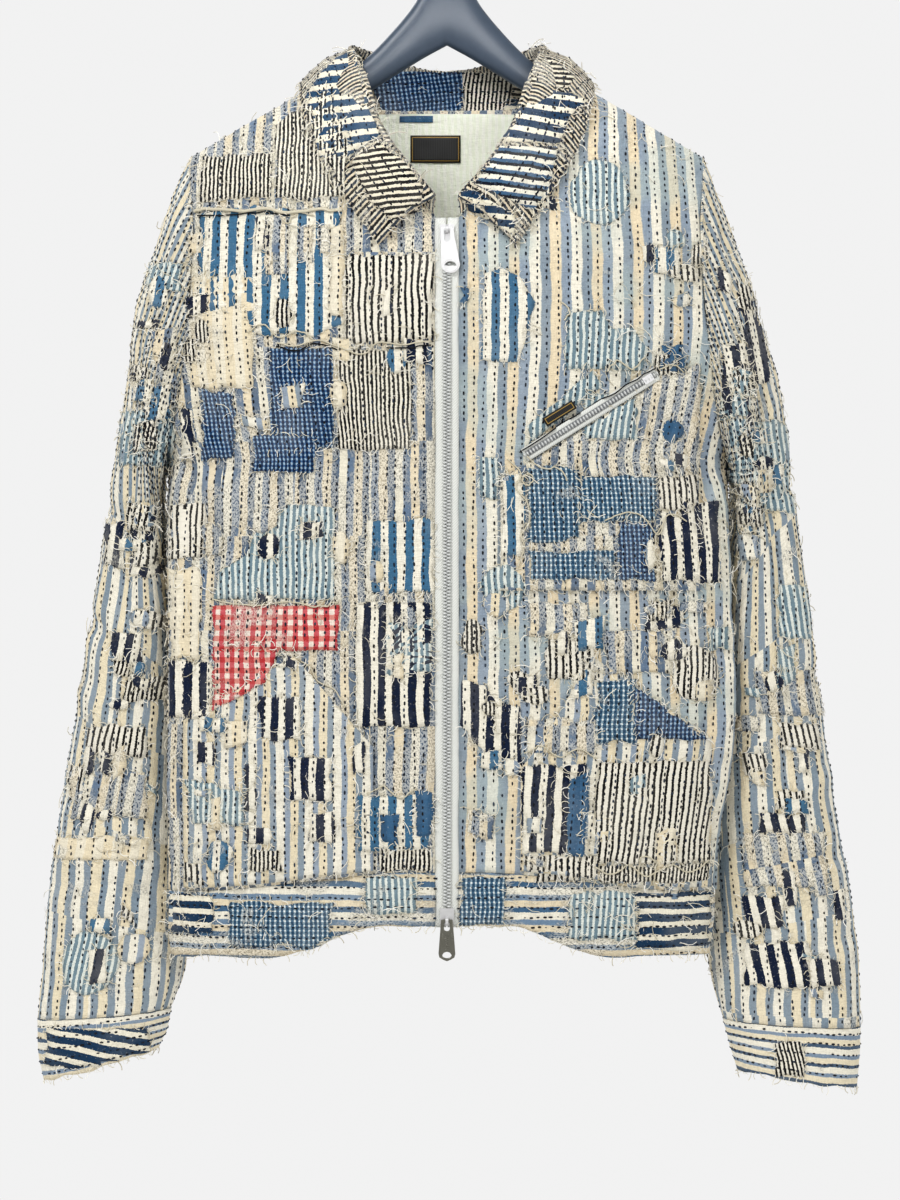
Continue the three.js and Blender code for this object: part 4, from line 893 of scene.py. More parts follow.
POCKETS = {
    "chest_pocket": (pocket(40, 190, lambda x: chest_zip_drop(x) + 7, level_at(538), 80, 40, 34), "worn"),
    "hand_pocket_right": (pocket(-198, -55, straight([(-198, 636), (-114, 587), (-55, 655)]),
                                 lambda x: front_band_top(x) - 3, 81, 38, 36), "pocket_stripe"),
    "hand_pocket_left": (pocket(55, 200, straight([(55, 671), (72, 650), (108, 587), (200, 650)]),
                                lambda x: front_band_top(x) - 3, 82, 38, 36), "pocket_stripe"),
}
for name, (cloth, look) in POCKETS.items():
    cloths[name] = cloth
    pieces[name] = cloth.build(name + "_cloth", MATERIALS[look], 1.2)

# ---- laying things on the cloth


def tree_of(objects):
    verts, faces = [], []
    for obj in objects:
        start = len(verts)
        verts += [v.co / MM for v in obj.data.vertices]
        faces += [[start + k for k in p.vertices] for p in obj.data.polygons]
    return BVHTree.FromPolygons(verts, faces)


FAR = 400
OUTLINE_STEP = 2.6            # between points along a patch's torn edge
LONGEST_SPAN = 26             # a patch's face that would be longer bridges a gap, and is left out


def project(tree, x, drop, facing):
    """The cloth's point and outward normal seen straight on from the front (-1) or back (1)."""
    hit, normal, _, _ = tree.ray_cast(Vector((x, facing * FAR, -drop)), Vector((0, -facing, 0)))
    if hit is None:
        return None, None
    if normal.y * facing < 0:
        normal = -normal
    return np.array(hit), np.array(normal)


def inside_outline(outline, points):
    """Which points lie inside a closed outline."""
    x, y = points[:, 0], points[:, 1]
    within = np.zeros(len(points), bool)
    for (ax, ay), (bx, by) in zip(outline, np.roll(outline, -1, axis=0)):
        crosses = (ay > y) != (by > y)
        with np.errstate(divide="ignore", invalid="ignore"):
            at = (bx - ax) * (y - ay) / (by - ay) + ax
        within ^= crosses & (x < at)
    return within


def ragged_outline(corners, seed, rough=2.0):
    corners = np.asarray(corners, float)
    points = []
    for a, b in zip(corners, np.roll(corners, -1, axis=0)):
        count = max(int(np.linalg.norm(b - a) / OUTLINE_STEP), 1)
        points += [mix(a, b, k / count) for k in range(count)]
    points = np.array(points)
    run = np.linspace(0, len(points) * OUTLINE_STEP, len(points))
    middle = corners.mean(axis=0)
    away = points - middle
    away = away / np.maximum(np.linalg.norm(away, axis=1, keepdims=True), 1e-6)
    push = rough * (value_noise(run / 7, run * 0, seed) + 0.8 * value_noise(run / 24, run * 0, seed + 1))
    return points + away * push[:, None]


def oval(cx, cd, rx, rd, count=18):
    return [(cx + rx * math.cos(2 * math.pi * k / count), cd + rd * math.sin(2 * math.pi * k / count))
            for k in range(count)]


def box(x0, x1, top, bottom):
    return [(x0, top), (x1, top), (x1, bottom), (x0, bottom)]


class PatchWork:
    """Patches of one part of the garment, gathered into one mesh with a slot for each cloth."""

    def __init__(self, name):
        self.name, self.verts, self.faces, self.uvs, self.looks, self.edges = name, [], [], [], [], []

    def lay(self, look, corners, level=1, facing=-1, slant=0.0, rough=2.0, fringe=1.0, cell=4.6):
        seed = 100 + len(self.faces) % 977
        outline = ragged_outline(corners, seed, rough)
        low, high = outline.min(axis=0), outline.max(axis=0)
        gx, gd = np.meshgrid(np.arange(low[0] + 2, high[0], cell), np.arange(low[1] + 2, high[1], cell))
        inner = np.stack([gx.ravel(), gd.ravel()], -1)
        inner = inner[inside_outline(outline, inner)]
        if len(inner):
            gap = np.min(np.linalg.norm(inner[:, None] - outline[None], axis=-1), axis=1)
            inner = inner[gap > cell * 0.45]
        flat = [Vector(p) for p in np.concatenate([outline, inner])]
        ring = list(range(len(outline)))
        result = delaunay_2d_cdt(flat, [], [ring], 1, 1e-4)
        start = len(self.verts)
        placed, normals, kept = [], [], []
        for p in result[0]:
            point, normal = project(ground, p[0], p[1], facing)
            kept.append(point is not None)
            placed.append(point if point is not None else np.zeros(3))
            normals.append(normal if normal is not None else np.array((0, facing, 0)))
        placed, normals = np.array(placed), np.array(normals)
        lift = 0.25 + 0.55 * level
        cos, sin = math.cos(slant), math.sin(slant)
        for (x, drop), point, normal in zip(result[0], placed, normals):
            self.verts.append(point + normal * lift)
            side = 1 if x >= 0 else -1
            u = side * float(girth(turn_for(x, width_at(side, "front", drop)))) if abs(x) < 200 else x
            self.uvs.append((u * cos + drop * sin, drop * cos - u * sin))
        for face in result[2]:
            corners3 = [placed[k] for k in face]
            longest = max(np.linalg.norm(corners3[k] - corners3[k - 1]) for k in range(len(face)))
            if longest > LONGEST_SPAN or not all(kept[k] for k in face):
                continue
            normal = np.cross(corners3[1] - corners3[0], corners3[2] - corners3[0])
            order = face if np.dot(normal, normals[face[0]]) > 0 else face[::-1]
            self.faces.append([start + k for k in order])
            self.looks.append(look)
        if fringe:
            self.fray(outline, facing, lift, fringe)

    def fray(self, outline, facing, lift, share):
        """Notes the outline as a line that yarn ends hang from."""
        middle = outline.mean(axis=0)
        line = []
        for (x, drop), (nx, nd) in zip(outline, np.roll(outline, -1, axis=0)):
            point, normal = project(ground, x, drop, facing)
            ahead, _ = project(ground, nx, nd, facing)
            if point is None or ahead is None:
                continue
            out = np.cross(ahead - point, normal)
            away = np.array((x - middle[0], 0, -(drop - middle[1])))
            if np.dot(out, away) < 0:
                out = -out
            if share < 1 and value_noise(np.array([x / 9]), np.array([drop / 9]), 8)[0] > 2 * share - 1:
                line.append(None)
                continue
            line.append((point + normal * (lift + 0.15), normal, out))
        frays.extend(run_of(line))

    def build(self):
        names = sorted(set(self.looks))
        obj = new_object(self.name, self.verts, self.faces, self.uvs)
        for name in names:
            obj.data.materials.append(MATERIALS[name])
        obj.data.polygons.foreach_set("material_index", [names.index(look) for look in self.looks])
        thicken(obj, 0.55)
        return obj


def run_of(line):
    """Splits a list with gaps into unbroken runs of two or more."""
    runs, current = [], []
    for item in line + [None]:
        if item is None:
            if len(current) > 1:
                runs.append(current)
            current = []
        else:
            current.append(item)
    return runs


SCRAP_LOOKS = ["worn", "navy_cream", "bold_pinstripe", "light_blue", "navy_cream", "pocket_stripe",
               "blue_white", "cream", "pinstripe", "navy_cream"]


def scatter_scraps(work, places, facing, slant=0.0):
    """Small torn scraps about each place, some wide and low, some tall."""
    for x, drop in places:
        look = SCRAP_LOOKS[int(rng.integers(len(SCRAP_LOOKS)))]
        half_x, half_d = 3 + 8 * rng.random(), 3 + 9 * rng.random()
        if rng.random() < 0.35:
            corners = oval(x, drop, half_x + 1, half_d + 1, 12)
        else:
            tilt = 3 * rng.normal()
            corners = [(x - half_x, drop - half_d), (x + half_x, drop - half_d + tilt),
                       (x + half_x, drop + half_d), (x - half_x, drop + half_d - tilt)]
        work.lay(look, corners, 2, facing, slant, rough=1.6)


def sleeve_places(side, count):
    places = []
    for _ in range(count):
        outer, under = SLEEVES[side][1 + int(rng.integers(13))][:2]
        t = 0.18 + 0.6 * rng.random()
        drop = mix(outer[1], under[1], t) + 40 * rng.random() - 20
        places.append((side * mix(outer[0], under[0], t), drop))
    return places


frays = []
ground = tree_of(shells)

# Patches of the front: cloth, level, outline in (distance across, drop).
BODY_PATCHES = [
    ("pinstripe", 1, [(-130, 186), (-90, 160), (-76, 200), (-76, 244), (-130, 244)]),
    ("pinstripe", 1, box(-186, -132, 208, 244)),
    ("blue_white", 1, [(-186, 252), (-134, 250), (-80, 254), (-77, 338), (-100, 348), (-146, 344),
                       (-150, 322), (-187, 330)]),
    ("worn", 2, box(-136, -119, 256, 300)), ("worn", 2, box(-112, -100, 262, 292)),
    ("cream", 2, box(-88, -78, 262, 330)),
    ("cream", 1, box(-193, -146, 301, 385)), ("bold_pinstripe", 1, box(-76, -10, 287, 352)),
    ("indigo_check", 2, box(-184, -160, 387, 439)), ("indigo_check", 2, box(-145, -100, 422, 449)),
    ("navy_cream", 1, box(-201, -192, 401, 439)), ("bold_pinstripe", 1, box(-211, -182, 471, 513)),
    ("blue_white", 1, box(-60, -10, 485, 540)), ("navy_cream", 1, box(-214, -178, 592, 634)),
    ("solid_blue", 2, box(-50, -36, 706, 728)), ("solid_blue", 2, box(-23, -11, 690, 722)),
    ("pinstripe", 1, box(-50, -11, 731, 748)), ("blue_white", 1, box(-66, -12, 690, 732)),
    ("light_blue", 1, oval(115, 239, 22, 25)), ("navy_cream", 1, box(72, 83, 229, 252)),
    ("solid_blue", 2, oval(12, 316, 5, 6)), ("light_blue", 1, box(24, 38, 438, 470)),
    ("light_blue", 1, oval(42, 534, 16, 17)), ("solid_blue", 2, box(161, 177, 353, 372)),
    ("solid_blue", 2, oval(169, 418, 9, 9)), ("pinstripe", 1, oval(19, 572, 8, 12)),
    ("bold_pinstripe", 1, oval(54, 606, 8, 7)),
    ("navy_cream", 1, [(3, 601), (28, 610), (56, 640), (55, 676), (38, 668), (10, 640)]),
    ("bold_pinstripe", 1, box(74, 112, 573, 605)), ("bold_pinstripe", 1, oval(189, 601, 19, 21)),
    ("navy_cream", 1, box(150, 176, 551, 567)), ("light_blue", 1, box(104, 142, 392, 424)),
    ("light_blue", 1, [(62, 428), (118, 384), (110, 372), (96, 384), (58, 416)]),
    ("worn", 1, box(152, 190, 368, 448)), ("worn", 1, box(60, 104, 548, 571)),
    ("worn", 1, box(118, 170, 568, 600)), ("navy_cream", 1, box(176, 206, 470, 530)),
    ("cream", 1, box(-212, -186, 520, 590)), ("light_blue", 1, box(-46, -12, 560, 600)),
]
NAMED_PATCHES = {
    "patch_pinstripe_right": ("pinstripe", box(-82, -27, 358, 433)),
    "patch_check_right": ("indigo_check", box(-133, -85, 356, 432)),
    "patch_light_blue_right": ("light_blue", [(-118, 473), (-84, 476), (-85, 545), (-176, 545), (-172, 524),
                                              (-152, 512), (-140, 490)]),
    "patch_gingham_right": ("gingham", box(-176, -81, 549, 583)),
    "patch_stripe_right": ("navy_cream", box(-68, -12, 547, 640)),
    "patch_light_blue_left": ("light_blue", [(89, 330), (116, 328), (124, 342), (140, 340), (151, 358),
                                             (146, 372), (88, 373)]),
    "patch_stripe_left": ("blue_white", [(28, 300), (40, 297), (54, 302), (66, 322), (60, 345), (54, 366),
                                         (25, 366)]),
}
for name, (look, corners) in NAMED_PATCHES.items():
    work = PatchWork(name + "_cloth")
    work.lay(look, corners, rough=1.0)
    if name == "patch_gingham_right":
        work.lay(look, [(-176, 578), (-122, 578), (-133, 604), (-176, 628)])
    pieces[name] = work.build()


def patched_with(name, patches):
    work = PatchWork(name)
    for look, level, corners in patches:
        work.lay(look, corners, level)
    return work


front_work = patched_with("front_patches", BODY_PATCHES)
places = [(-200 + 180 * rng.random(), 260 + 480 * rng.random()) for _ in range(30)]
places += [(20 + 185 * rng.random(), 545 + 200 * rng.random()) for _ in range(26)]
places += [(150 + 45 * rng.random(), 250 + 300 * rng.random()) for _ in range(10)]
scatter_scraps(front_work, places, -1)
pieces["front_patches"] = front_work.build()

POCKET_PATCHES = [
    ("blue_white", 1, box(41, 58, 452, 512)), ("pale_check", 1, box(60, 100, 446, 500)),
    ("pale_check", 1, box(100, 158, 452, 486)), ("indigo_check", 1, box(128, 156, 486, 530)),
    ("pale_check", 1, box(60, 126, 508, 530)), ("navy_cream", 1, box(160, 189, 478, 530)),
    ("bold_pinstripe", 1, box(158, 188, 452, 476)),
    ("navy_cream", 1, box(-141, -109, 617, 650)), ("navy_cream", 1, box(-151, -143, 670, 702)),
    ("navy_cream", 1, box(-117, -86, 664, 694)), ("navy_cream", 1, box(-151, -134, 716, 728)),
    ("navy_cream", 1, box(-103, -86, 704, 725)), ("navy_cream", 1, box(-60, -53, 706, 720)),
    ("navy_cream", 1, box(-70, -62, 652, 674)), ("navy_cream", 1, box(-188, -176, 652, 668)),
    ("light_blue", 1, [(-196, 679), (-153, 690), (-153, 714), (-190, 712)]),
    ("pinstripe", 1, box(-148, -124, 731, 747)), ("bold_pinstripe", 1, box(-196, -184, 742, 758)),
    ("indigo_check", 1, [(141, 609), (196, 650), (141, 650)]), ("pale_check", 1, box(112, 141, 606, 652)),
    ("worn", 1, box(60, 112, 634, 660)), ("bold_pinstripe", 2, box(112, 198, 666, 742)),
    ("navy_cream", 1, box(57, 104, 668, 734)),
    ("solid_blue", 2, [(92, 676), (106, 672), (102, 734), (90, 736)]),
    ("bold_pinstripe", 1, box(58, 112, 736, 756)), ("pinstripe", 2, box(114, 198, 744, 757)),
]
pieces["pocket_patches"] = patched_with("pocket_patches", POCKET_PATCHES).build()

BAND_PATCHES = [
    ("navy_turned", 1, box(-212, -176, 768, 796)), ("pale_check", 1, box(-163, -86, 772, 806)),
    ("light_blue", 1, box(-61, -22, 753, 778)), ("pale_check", 1, box(10, 43, 752, 788)),
    ("light_blue", 1, box(92, 142, 764, 800)), ("navy_turned", 1, box(142, 200, 766, 808)),
]
pieces["waistband_patches"] = patched_with("waistband_patches", BAND_PATCHES).build()

SLEEVE_PATCHES = [
    ("light_blue", box(-226, -201, 291, 312)), ("light_blue", box(-249, -207, 401, 444)),
    ("navy_cream", box(-240, -217, 481, 526)), ("navy_cream", box(-262, -246, 486, 520)),
    ("navy_cream", box(-255, -233, 571, 602)), ("bold_pinstripe", box(-275, -230, 642, 664)),
    ("bold_pinstripe", box(-290, -277, 671, 699)), ("cream", box(-302, -228, 727, 743)),
    ("light_blue", oval(-272, 820, 22, 25)), ("worn", box(-222, -204, 340, 400)),
    ("pinstripe", box(-245, -214, 604, 622)), ("worn", box(-288, -230, 676, 712)),
    ("navy_cream", box(220, 244, 319, 380)), ("navy_cream", box(207, 226, 352, 392)),
    ("light_blue", box(214, 266, 410, 478)), ("light_blue", box(252, 278, 533, 574)),
    ("bold_pinstripe", box(252, 285, 639, 659)), ("bold_pinstripe", box(252, 271, 691, 703)),
    ("navy_cream", box(240, 274, 708, 722)), ("navy_cream", box(226, 258, 770, 794)),
    ("navy_cream", box(228, 276, 806, 838)), ("navy_cream", box(296, 305, 766, 790)),
    ("worn", box(236, 292, 600, 632)), ("worn", box(228, 290, 724, 764)),
    ("navy_turned", box(-306, -228, 871, 900)), ("pinstripe", box(250, 270, 880, 906)),
]
LEAN = 0.19                   # how the sleeves' stripes lean away from upright
BEHIND = 14                   # how much lower the same cloth lies on a sleeve's back
sleeve_work = {side: PatchWork(f"sleeve_{name}_patches") for side, name in SIDES}
for look, corners in SLEEVE_PATCHES:
    side = 1 if corners[0][0] > 0 else -1
    sleeve_work[side].lay(look, corners, slant=-side * LEAN)
    if 300 < corners[0][1] < 860:
        lower = [(x, drop + BEHIND) for x, drop in corners]
        sleeve_work[side].lay(look, lower, facing=1, slant=-side * LEAN)


COLLAR_PATCHES = [
    ("collar_stripe", [(-71, 124), (-84, 132), (-97, 147), (-107, 166), (-95, 212), (-74, 213), (-50, 198),
                       (-55, 178), (-64, 150)]),
    ("collar_ticking", [(-72, 216), (-52, 202), (-36, 214), (-18, 236), (-20, 254), (-40, 262), (-58, 246)]),
    ("collar_ticking", [(58, 124), (78, 132), (97, 148), (92, 160), (48, 152), (52, 136)]),
    ("navy_turned", [(47, 154), (94, 162), (106, 168), (92, 180), (84, 202), (36, 202), (43, 178)]),
    ("collar_blue", [(34, 205), (83, 205), (78, 232), (66, 254), (22, 234)]),
    ("navy_turned", [(9, 240), (20, 238), (52, 258), (50, 272), (12, 250)]),
    ("indigo_check", [(-62, 134), (12, 134), (12, 166), (-50, 166)]),
    ("pinstripe", [(13, 134), (54, 134), (48, 166), (13, 166)]),
]
collar_work = PatchWork("collar_patches")
for look, corners in COLLAR_PATCHES:
    collar_work.lay(look, corners, slant=-0.12 if corners[0][0] < 0 else 0.12, rough=0.9,
                    fringe=0.62)
pieces["collar_patches"] = collar_work.build()

# The back's patches are laid in bands, each cut at uneven widths.
BACK_LOOKS = ["blue_white", "light_blue", "pinstripe", "wide_stripe", "indigo_check", "navy_cream",
              "pale_check", "cream", "bold_pinstripe", "pocket_stripe", "gingham", "light_blue",
              "wide_stripe", "blue_white"]
back_work = PatchWork("back_patches")
BACK_BANDS = [(205, 270), (276, 348), (352, 430), (436, 500), (508, 588), (596, 664), (670, 744)]
for number, (top, bottom) in enumerate(BACK_BANDS):
    x = -186 + 14 * (number % 3)
    while x < 176:
        wide = 30 + 52 * rng.random()
        end = min(x + wide, 190)
        if rng.random() < 0.62:
            look = BACK_LOOKS[int(rng.integers(len(BACK_LOOKS)))]
            trim = 14 * rng.random()
            low = top + trim + (34 if number == 0 and max(abs(x), abs(end)) > 120 else 0)
            back_work.lay(look, box(x, end, low, bottom - 10 * rng.random()), facing=1)
        x = end + 6 + 12 * rng.random()
places = [(-185 + 370 * rng.random(), 240 + 500 * rng.random()) for _ in range(60)]
scatter_scraps(back_work, places, 1)
pieces["back_patches"] = back_work.build()
for side, name in SIDES:
    for count, facing in ((34, -1), (24, 1)):
        scatter_scraps(sleeve_work[side], sleeve_places(side, count), facing, -side * LEAN)
    pieces[f"sleeve_{name}_patches"] = sleeve_work[side].build()

# ---- repeats by geometry nodes


def group_with(name, sockets):
    tree = bpy.data.node_groups.new(name, "GeometryNodeTree")
    tree.interface.new_socket("Geometry", in_out="OUTPUT", socket_type="NodeSocketGeometry")
    tree.interface.new_socket("Geometry", in_out="INPUT", socket_type="NodeSocketGeometry")
    for label, kind in sockets:
        tree.interface.new_socket(label, in_out="INPUT", socket_type=kind)
    return tree, tree.nodes.new("NodeGroupInput"), tree.nodes.new("NodeGroupOutput")


def vector_attribute(tree, name):
    return add(tree, "GeometryNodeInputNamedAttribute", {"Name": name}, data_type="FLOAT_VECTOR").outputs[0]


def spaced_points(tree, inputs):
    """The incoming lines as curves, with a point at every spacing."""
    curve = add(tree, "GeometryNodeMeshToCurve", {0: inputs.outputs["Geometry"]})
    return add(tree, "GeometryNodeResampleCurve", {
        0: curve.outputs[0], "Length": inputs.outputs["Spacing"]}, mode="LENGTH").outputs[0]


def above(tree, value, limit):
    return add(tree, "FunctionNodeCompare", {0: value, 1: limit}, operation="GREATER_THAN",
               data_type="FLOAT").outputs[0]


def strand_rotation(tree, secondary):
    normal = vector_attribute(tree, "surface_normal")
    return add(tree, "FunctionNodeAxesToRotation", {"Primary Axis": normal, "Secondary Axis": secondary},
               primary_axis="Z", secondary_axis="X").outputs[0]


def random_vector(tree, low, high, seed):
    return add(tree, "FunctionNodeRandomValue", {0: low, 1: high, "Seed": seed},
               data_type="FLOAT_VECTOR").outputs[0]


def random_number(tree, low, high, seed):
    return add(tree, "FunctionNodeRandomValue", {2: low, 3: high, "Seed": seed}, data_type="FLOAT").outputs[1]


def close_tree(tree, instances, inputs, outputs):
    tone = random_number(tree, 0.0, 1.0, 9)
    named = add(tree, "GeometryNodeStoreNamedAttribute", {
        "Geometry": instances, "Name": "tone", "Value": tone}, data_type="FLOAT", domain="INSTANCE")
    real = add(tree, "GeometryNodeRealizeInstances", {0: named.outputs[0]})
    shaded = add(tree, "GeometryNodeSetShadeSmooth", {0: real.outputs[0]})
    done = add(tree, "GeometryNodeSetMaterial", {
        "Geometry": shaded.outputs[0], "Material": inputs.outputs["Material"]})
    tree.links.new(done.outputs[0], outputs.inputs[0])
    return tree


def stitch_tree():
    """Sets a rounded bead along every line: a stitch, a zip tooth or a coil's turn."""
    tree, inputs, outputs = group_with("beads along lines", [
        ("Spacing", "NodeSocketFloat"), ("Size", "NodeSocketVector"), ("Scatter", "NodeSocketFloat"),
        ("Missing", "NodeSocketFloat"), ("Seed", "NodeSocketInt"), ("Material", "NodeSocketMaterial")])
    rotation = strand_rotation(tree, add(tree, "GeometryNodeInputTangent").outputs[0])
    scatter = inputs.outputs["Scatter"]
    spread = random_vector(tree, (-1, -1, -1), (1, 1, 1), inputs.outputs["Seed"])
    shift = add(tree, "ShaderNodeVectorMath", {0: spread, "Scale": scatter}, operation="SCALE").outputs[0]
    bead = add(tree, "GeometryNodeMeshUVSphere", {"Radius": 0.5, "Segments": 6, "Rings": 2}).outputs[0]
    chance = random_number(tree, 0.0, 1.0, 4)
    keep = above(tree, chance, inputs.outputs["Missing"])
    vary = random_vector(tree, (0.75, 0.85, 0.9), (1.25, 1.15, 1.1), 6)
    even = inputs.outputs["Size"]
    sized = add(tree, "ShaderNodeVectorMath", {0: vary, 1: even}, operation="MULTIPLY").outputs[0]
    rough = above(tree, scatter, 0.00001)
    size = add(tree, "GeometryNodeSwitch", {0: rough, 1: even, 2: sized},
               input_type="VECTOR").outputs[0]
    moved = add(tree, "GeometryNodeSetPosition", {"Geometry": spaced_points(tree, inputs), "Offset": shift})
    instances = add(tree, "GeometryNodeInstanceOnPoints", {
        "Points": moved.outputs[0], "Selection": keep, "Instance": bead, "Rotation": rotation, "Scale": size})
    return close_tree(tree, instances.outputs[0], inputs, outputs)


def fray_tree():
    """Hangs short bent yarn ends from every line, pointing away from the cloth."""
    tree, inputs, outputs = group_with("frayed yarn along lines", [
        ("Spacing", "NodeSocketFloat"), ("Length", "NodeSocketFloat"), ("Radius", "NodeSocketFloat"),
        ("Seed", "NodeSocketInt"), ("Material", "NodeSocketMaterial")])
    rotation = strand_rotation(tree, vector_attribute(tree, "outward"))
    angles = random_vector(tree, (-0.35, -0.5, -1.3), (0.35, 0.2, 1.3), inputs.outputs["Seed"])
    turn = add(tree, "FunctionNodeEulerToRotation", {0: angles}).outputs[0]
    turned = add(tree, "FunctionNodeRotateRotation", {0: rotation, 1: turn},
                 rotation_space="LOCAL").outputs[0]
    relative = maths(tree, "DIVIDE", inputs.outputs["Radius"], inputs.outputs["Length"])
    profile = add(tree, "GeometryNodeCurvePrimitiveCircle", {"Resolution": 3, "Radius": relative},
                  mode="RADIUS")
    strands = add(tree, "GeometryNodeGeometryToInstance")
    for middle, end in (((0.5, 0.25, 0.05), (0.95, -0.15, -0.02)), ((0.4, -0.3, 0.1), (0.8, 0.35, 0.0)),
                        ((0.6, 0.1, 0.22), (0.7, 0.55, 0.04))):
        bow = add(tree, "GeometryNodeCurveQuadraticBezier", {
            "Resolution": 3, "Start": (-0.15, 0, 0), "Middle": middle, "End": end})
        strand = add(tree, "GeometryNodeCurveToMesh", {0: bow.outputs[0], "Profile Curve": profile.outputs[0],
                                                       "Fill Caps": True})
        tree.links.new(strand.outputs[0], strands.inputs[0])
    scale = maths(tree, "MULTIPLY", random_number(tree, 0.35, 1.3, 3), inputs.outputs["Length"])
    instances = add(tree, "GeometryNodeInstanceOnPoints", {
        "Points": spaced_points(tree, inputs), "Instance": strands.outputs[0], "Pick Instance": True,
        "Rotation": turned, "Scale": scale})
    return close_tree(tree, instances.outputs[0], inputs, outputs)


STITCHES, FRAYS = stitch_tree(), fray_tree()


def lines_object(name, runs):
    """Edges through runs of (point, normal, direction), with both vectors kept as attributes."""
    verts, edges, normals, outs = [], [], [], []
    for run in runs:
        for k, item in enumerate(run):
            if k:
                edges.append((len(verts) - 1, len(verts)))
            verts.append(item[0] * MM)
            normals.append(item[1])
            outs.append(item[2] / max(np.linalg.norm(item[2]), 1e-9) if len(item) > 2 else (1, 0, 0))
    mesh = bpy.data.meshes.new(name)
    mesh.from_pydata([tuple(v) for v in verts], edges, [])
    for label, values in (("surface_normal", normals), ("outward", outs)):
        layer = mesh.attributes.new(label, "FLOAT_VECTOR", "POINT")
        layer.data.foreach_set("vector", np.asarray(values, float).ravel())
    return in_scene(name, mesh)


def repeat(name, runs, tree, material, **settings):
    """Runs a tree over lines and keeps the outcome as a plain mesh."""
    obj = lines_object(name, runs)
    modifier = obj.modifiers.new("repeat", "NODES")
    modifier.node_group = tree
    for item in tree.interface.items_tree:
        if item.in_out != "INPUT" or item.socket_type == "NodeSocketGeometry":
            continue
        modifier[item.identifier] = material if item.name == "Material" else settings[item.name]
    graph = bpy.context.evaluated_depsgraph_get()
    mesh = bpy.data.meshes.new_from_object(obj.evaluated_get(graph))
    obj.modifiers.clear()
    obj.data = mesh
    mesh.name = name
    if not mesh.materials:
        mesh.materials.append(material)
    return obj


# ---- stitch rows

patched = tree_of(shells + [pieces[k] for k in pieces if "patch" in k])
SETTLE_REACH = 9


def settle(point, normal):
    """Drops a point onto the topmost cloth along the cloth's own normal."""
    hit = patched.ray_cast(Vector(point + normal * SETTLE_REACH), Vector(-normal))[0]
    if hit is None or np.linalg.norm(np.array(hit) - point) > SETTLE_REACH:
        return None
    return np.array(hit)


def stitch_lines(cloth, spacing, start=0.0, every=5.0, turned=False, skip=0.0, seed=1):
    """Rows of running stitch over a cloth grid, along its length, or across where turned."""
    first, second = (cloth.v, cloth.u) if turned else (cloth.u, cloth.v)
    points, normals = cloth.points, cloth.normals
    if turned:
        first, points, normals = first.T, points.swapaxes(0, 1), normals.swapaxes(0, 1)
        second = second.T
    row_steps = max(int(every / max(np.median(np.linalg.norm(np.diff(points, axis=0), axis=-1)), 0.1)), 1)
    runs = []
    for k, at in enumerate(np.arange(first.min() + start, first.max(), spacing), 1):
        line = []
        for i in range(0, len(points), row_steps):
            values = first[i]
            wander = at + 1.0 * float(value_noise(np.array(k * 3.7), np.array(second[i, 0] / 45), seed))
            order = values if values[-1] > values[0] else values[::-1]
            if not order[0] + 1.5 < wander < order[-1] - 1.5:
                line.append(None)
                continue
            place = np.interp(wander, order, np.arange(len(order)))
            if values[-1] < values[0]:
                place = len(values) - 1 - place
            j = int(place)
            part = place - j
            j2 = min(j + 1, len(values) - 1)
            point = mix(points[i, j], points[i, j2], part)
            normal = mix(normals[i, j], normals[i, j2], part)
            normal = normal / np.linalg.norm(normal)
            gap = float(value_noise(np.array(k * 1.3), np.array(second[i, j] / 30), seed + 5))
            hit = settle(point, normal) if gap > skip * 2 - 1 else None
            line.append(None if hit is None else (hit + normal * 0.1, normal))
        runs.extend(run_of(line))
    return runs


STITCH_SIZE = (3.0 * MM, 1.5 * MM, 1.3 * MM)
STITCH_PITCH = 4.9 * MM
TRIMS = ["waistband_right", "waistband_left", "waistband_back", "cuff_right", "cuff_left"]
# each run of stitching: the cloths it is on, millimetres between rows, and how its rows run
STITCHING = {
    "front_stitches": (["front_right", "front_left"], 7.4, dict(start=3.8, skip=0.08)),
    "back_stitches": (["back"], 11.2, dict(start=5, skip=0.08)),
    "sleeve_right_stitches": (["sleeve_right"], 9.6, dict(start=4, skip=0.1, seed=2)),
    "sleeve_left_stitches": (["sleeve_left"], 9.6, dict(start=4, skip=0.1, seed=3)),
    "trim_stitches": (TRIMS, 7.5, dict(start=4, turned=True, every=4)),
    "collar_stitches": (["collar"], 7.6, dict(start=6, every=4)),
}
for name, (cloth_names, spacing, options) in STITCHING.items():
    runs = []
    for cloth_name in cloth_names:
        runs += stitch_lines(cloths[cloth_name], spacing, **options)
    pieces[name] = repeat(name, runs, STITCHES, STITCH, Spacing=STITCH_PITCH, Size=STITCH_SIZE,
                          Scatter=0.0004, Missing=0.06, Seed=1)

# ---- frayed edges



def fray_row(points, normals, outward):
    """Notes a row of a cloth's points as an edge that yarn ends hang from."""
    frays.extend(run_of([(p, n, outward(k, p)) for k, (p, n) in enumerate(zip(points, normals))]))


for piece_name, cloth in cloths.items():
    if piece_name.startswith(("waistband", "cuff")):
        fray_row(cloth.points[-1], cloth.normals[-1], lambda k, p: np.array((0, 0, -1.0)))
    if piece_name == "collar":
        fray_row(cloth.points[:, -1], cloth.normals[:, -2], lambda k, p: p - cloth.points[k, -3])
    if "pocket" in piece_name:
        for i, up in ((0, 1.0), (-1, -1.0)):
            fray_row(cloth.points[i], cloth.normals[i], lambda k, p: np.array((0, 0, up)))
    if piece_name.startswith("sleeve"):
        fray_row(cloth.points[0], cloth.normals[2], lambda k, p: np.array((np.sign(p[0]), 0, -0.5)))

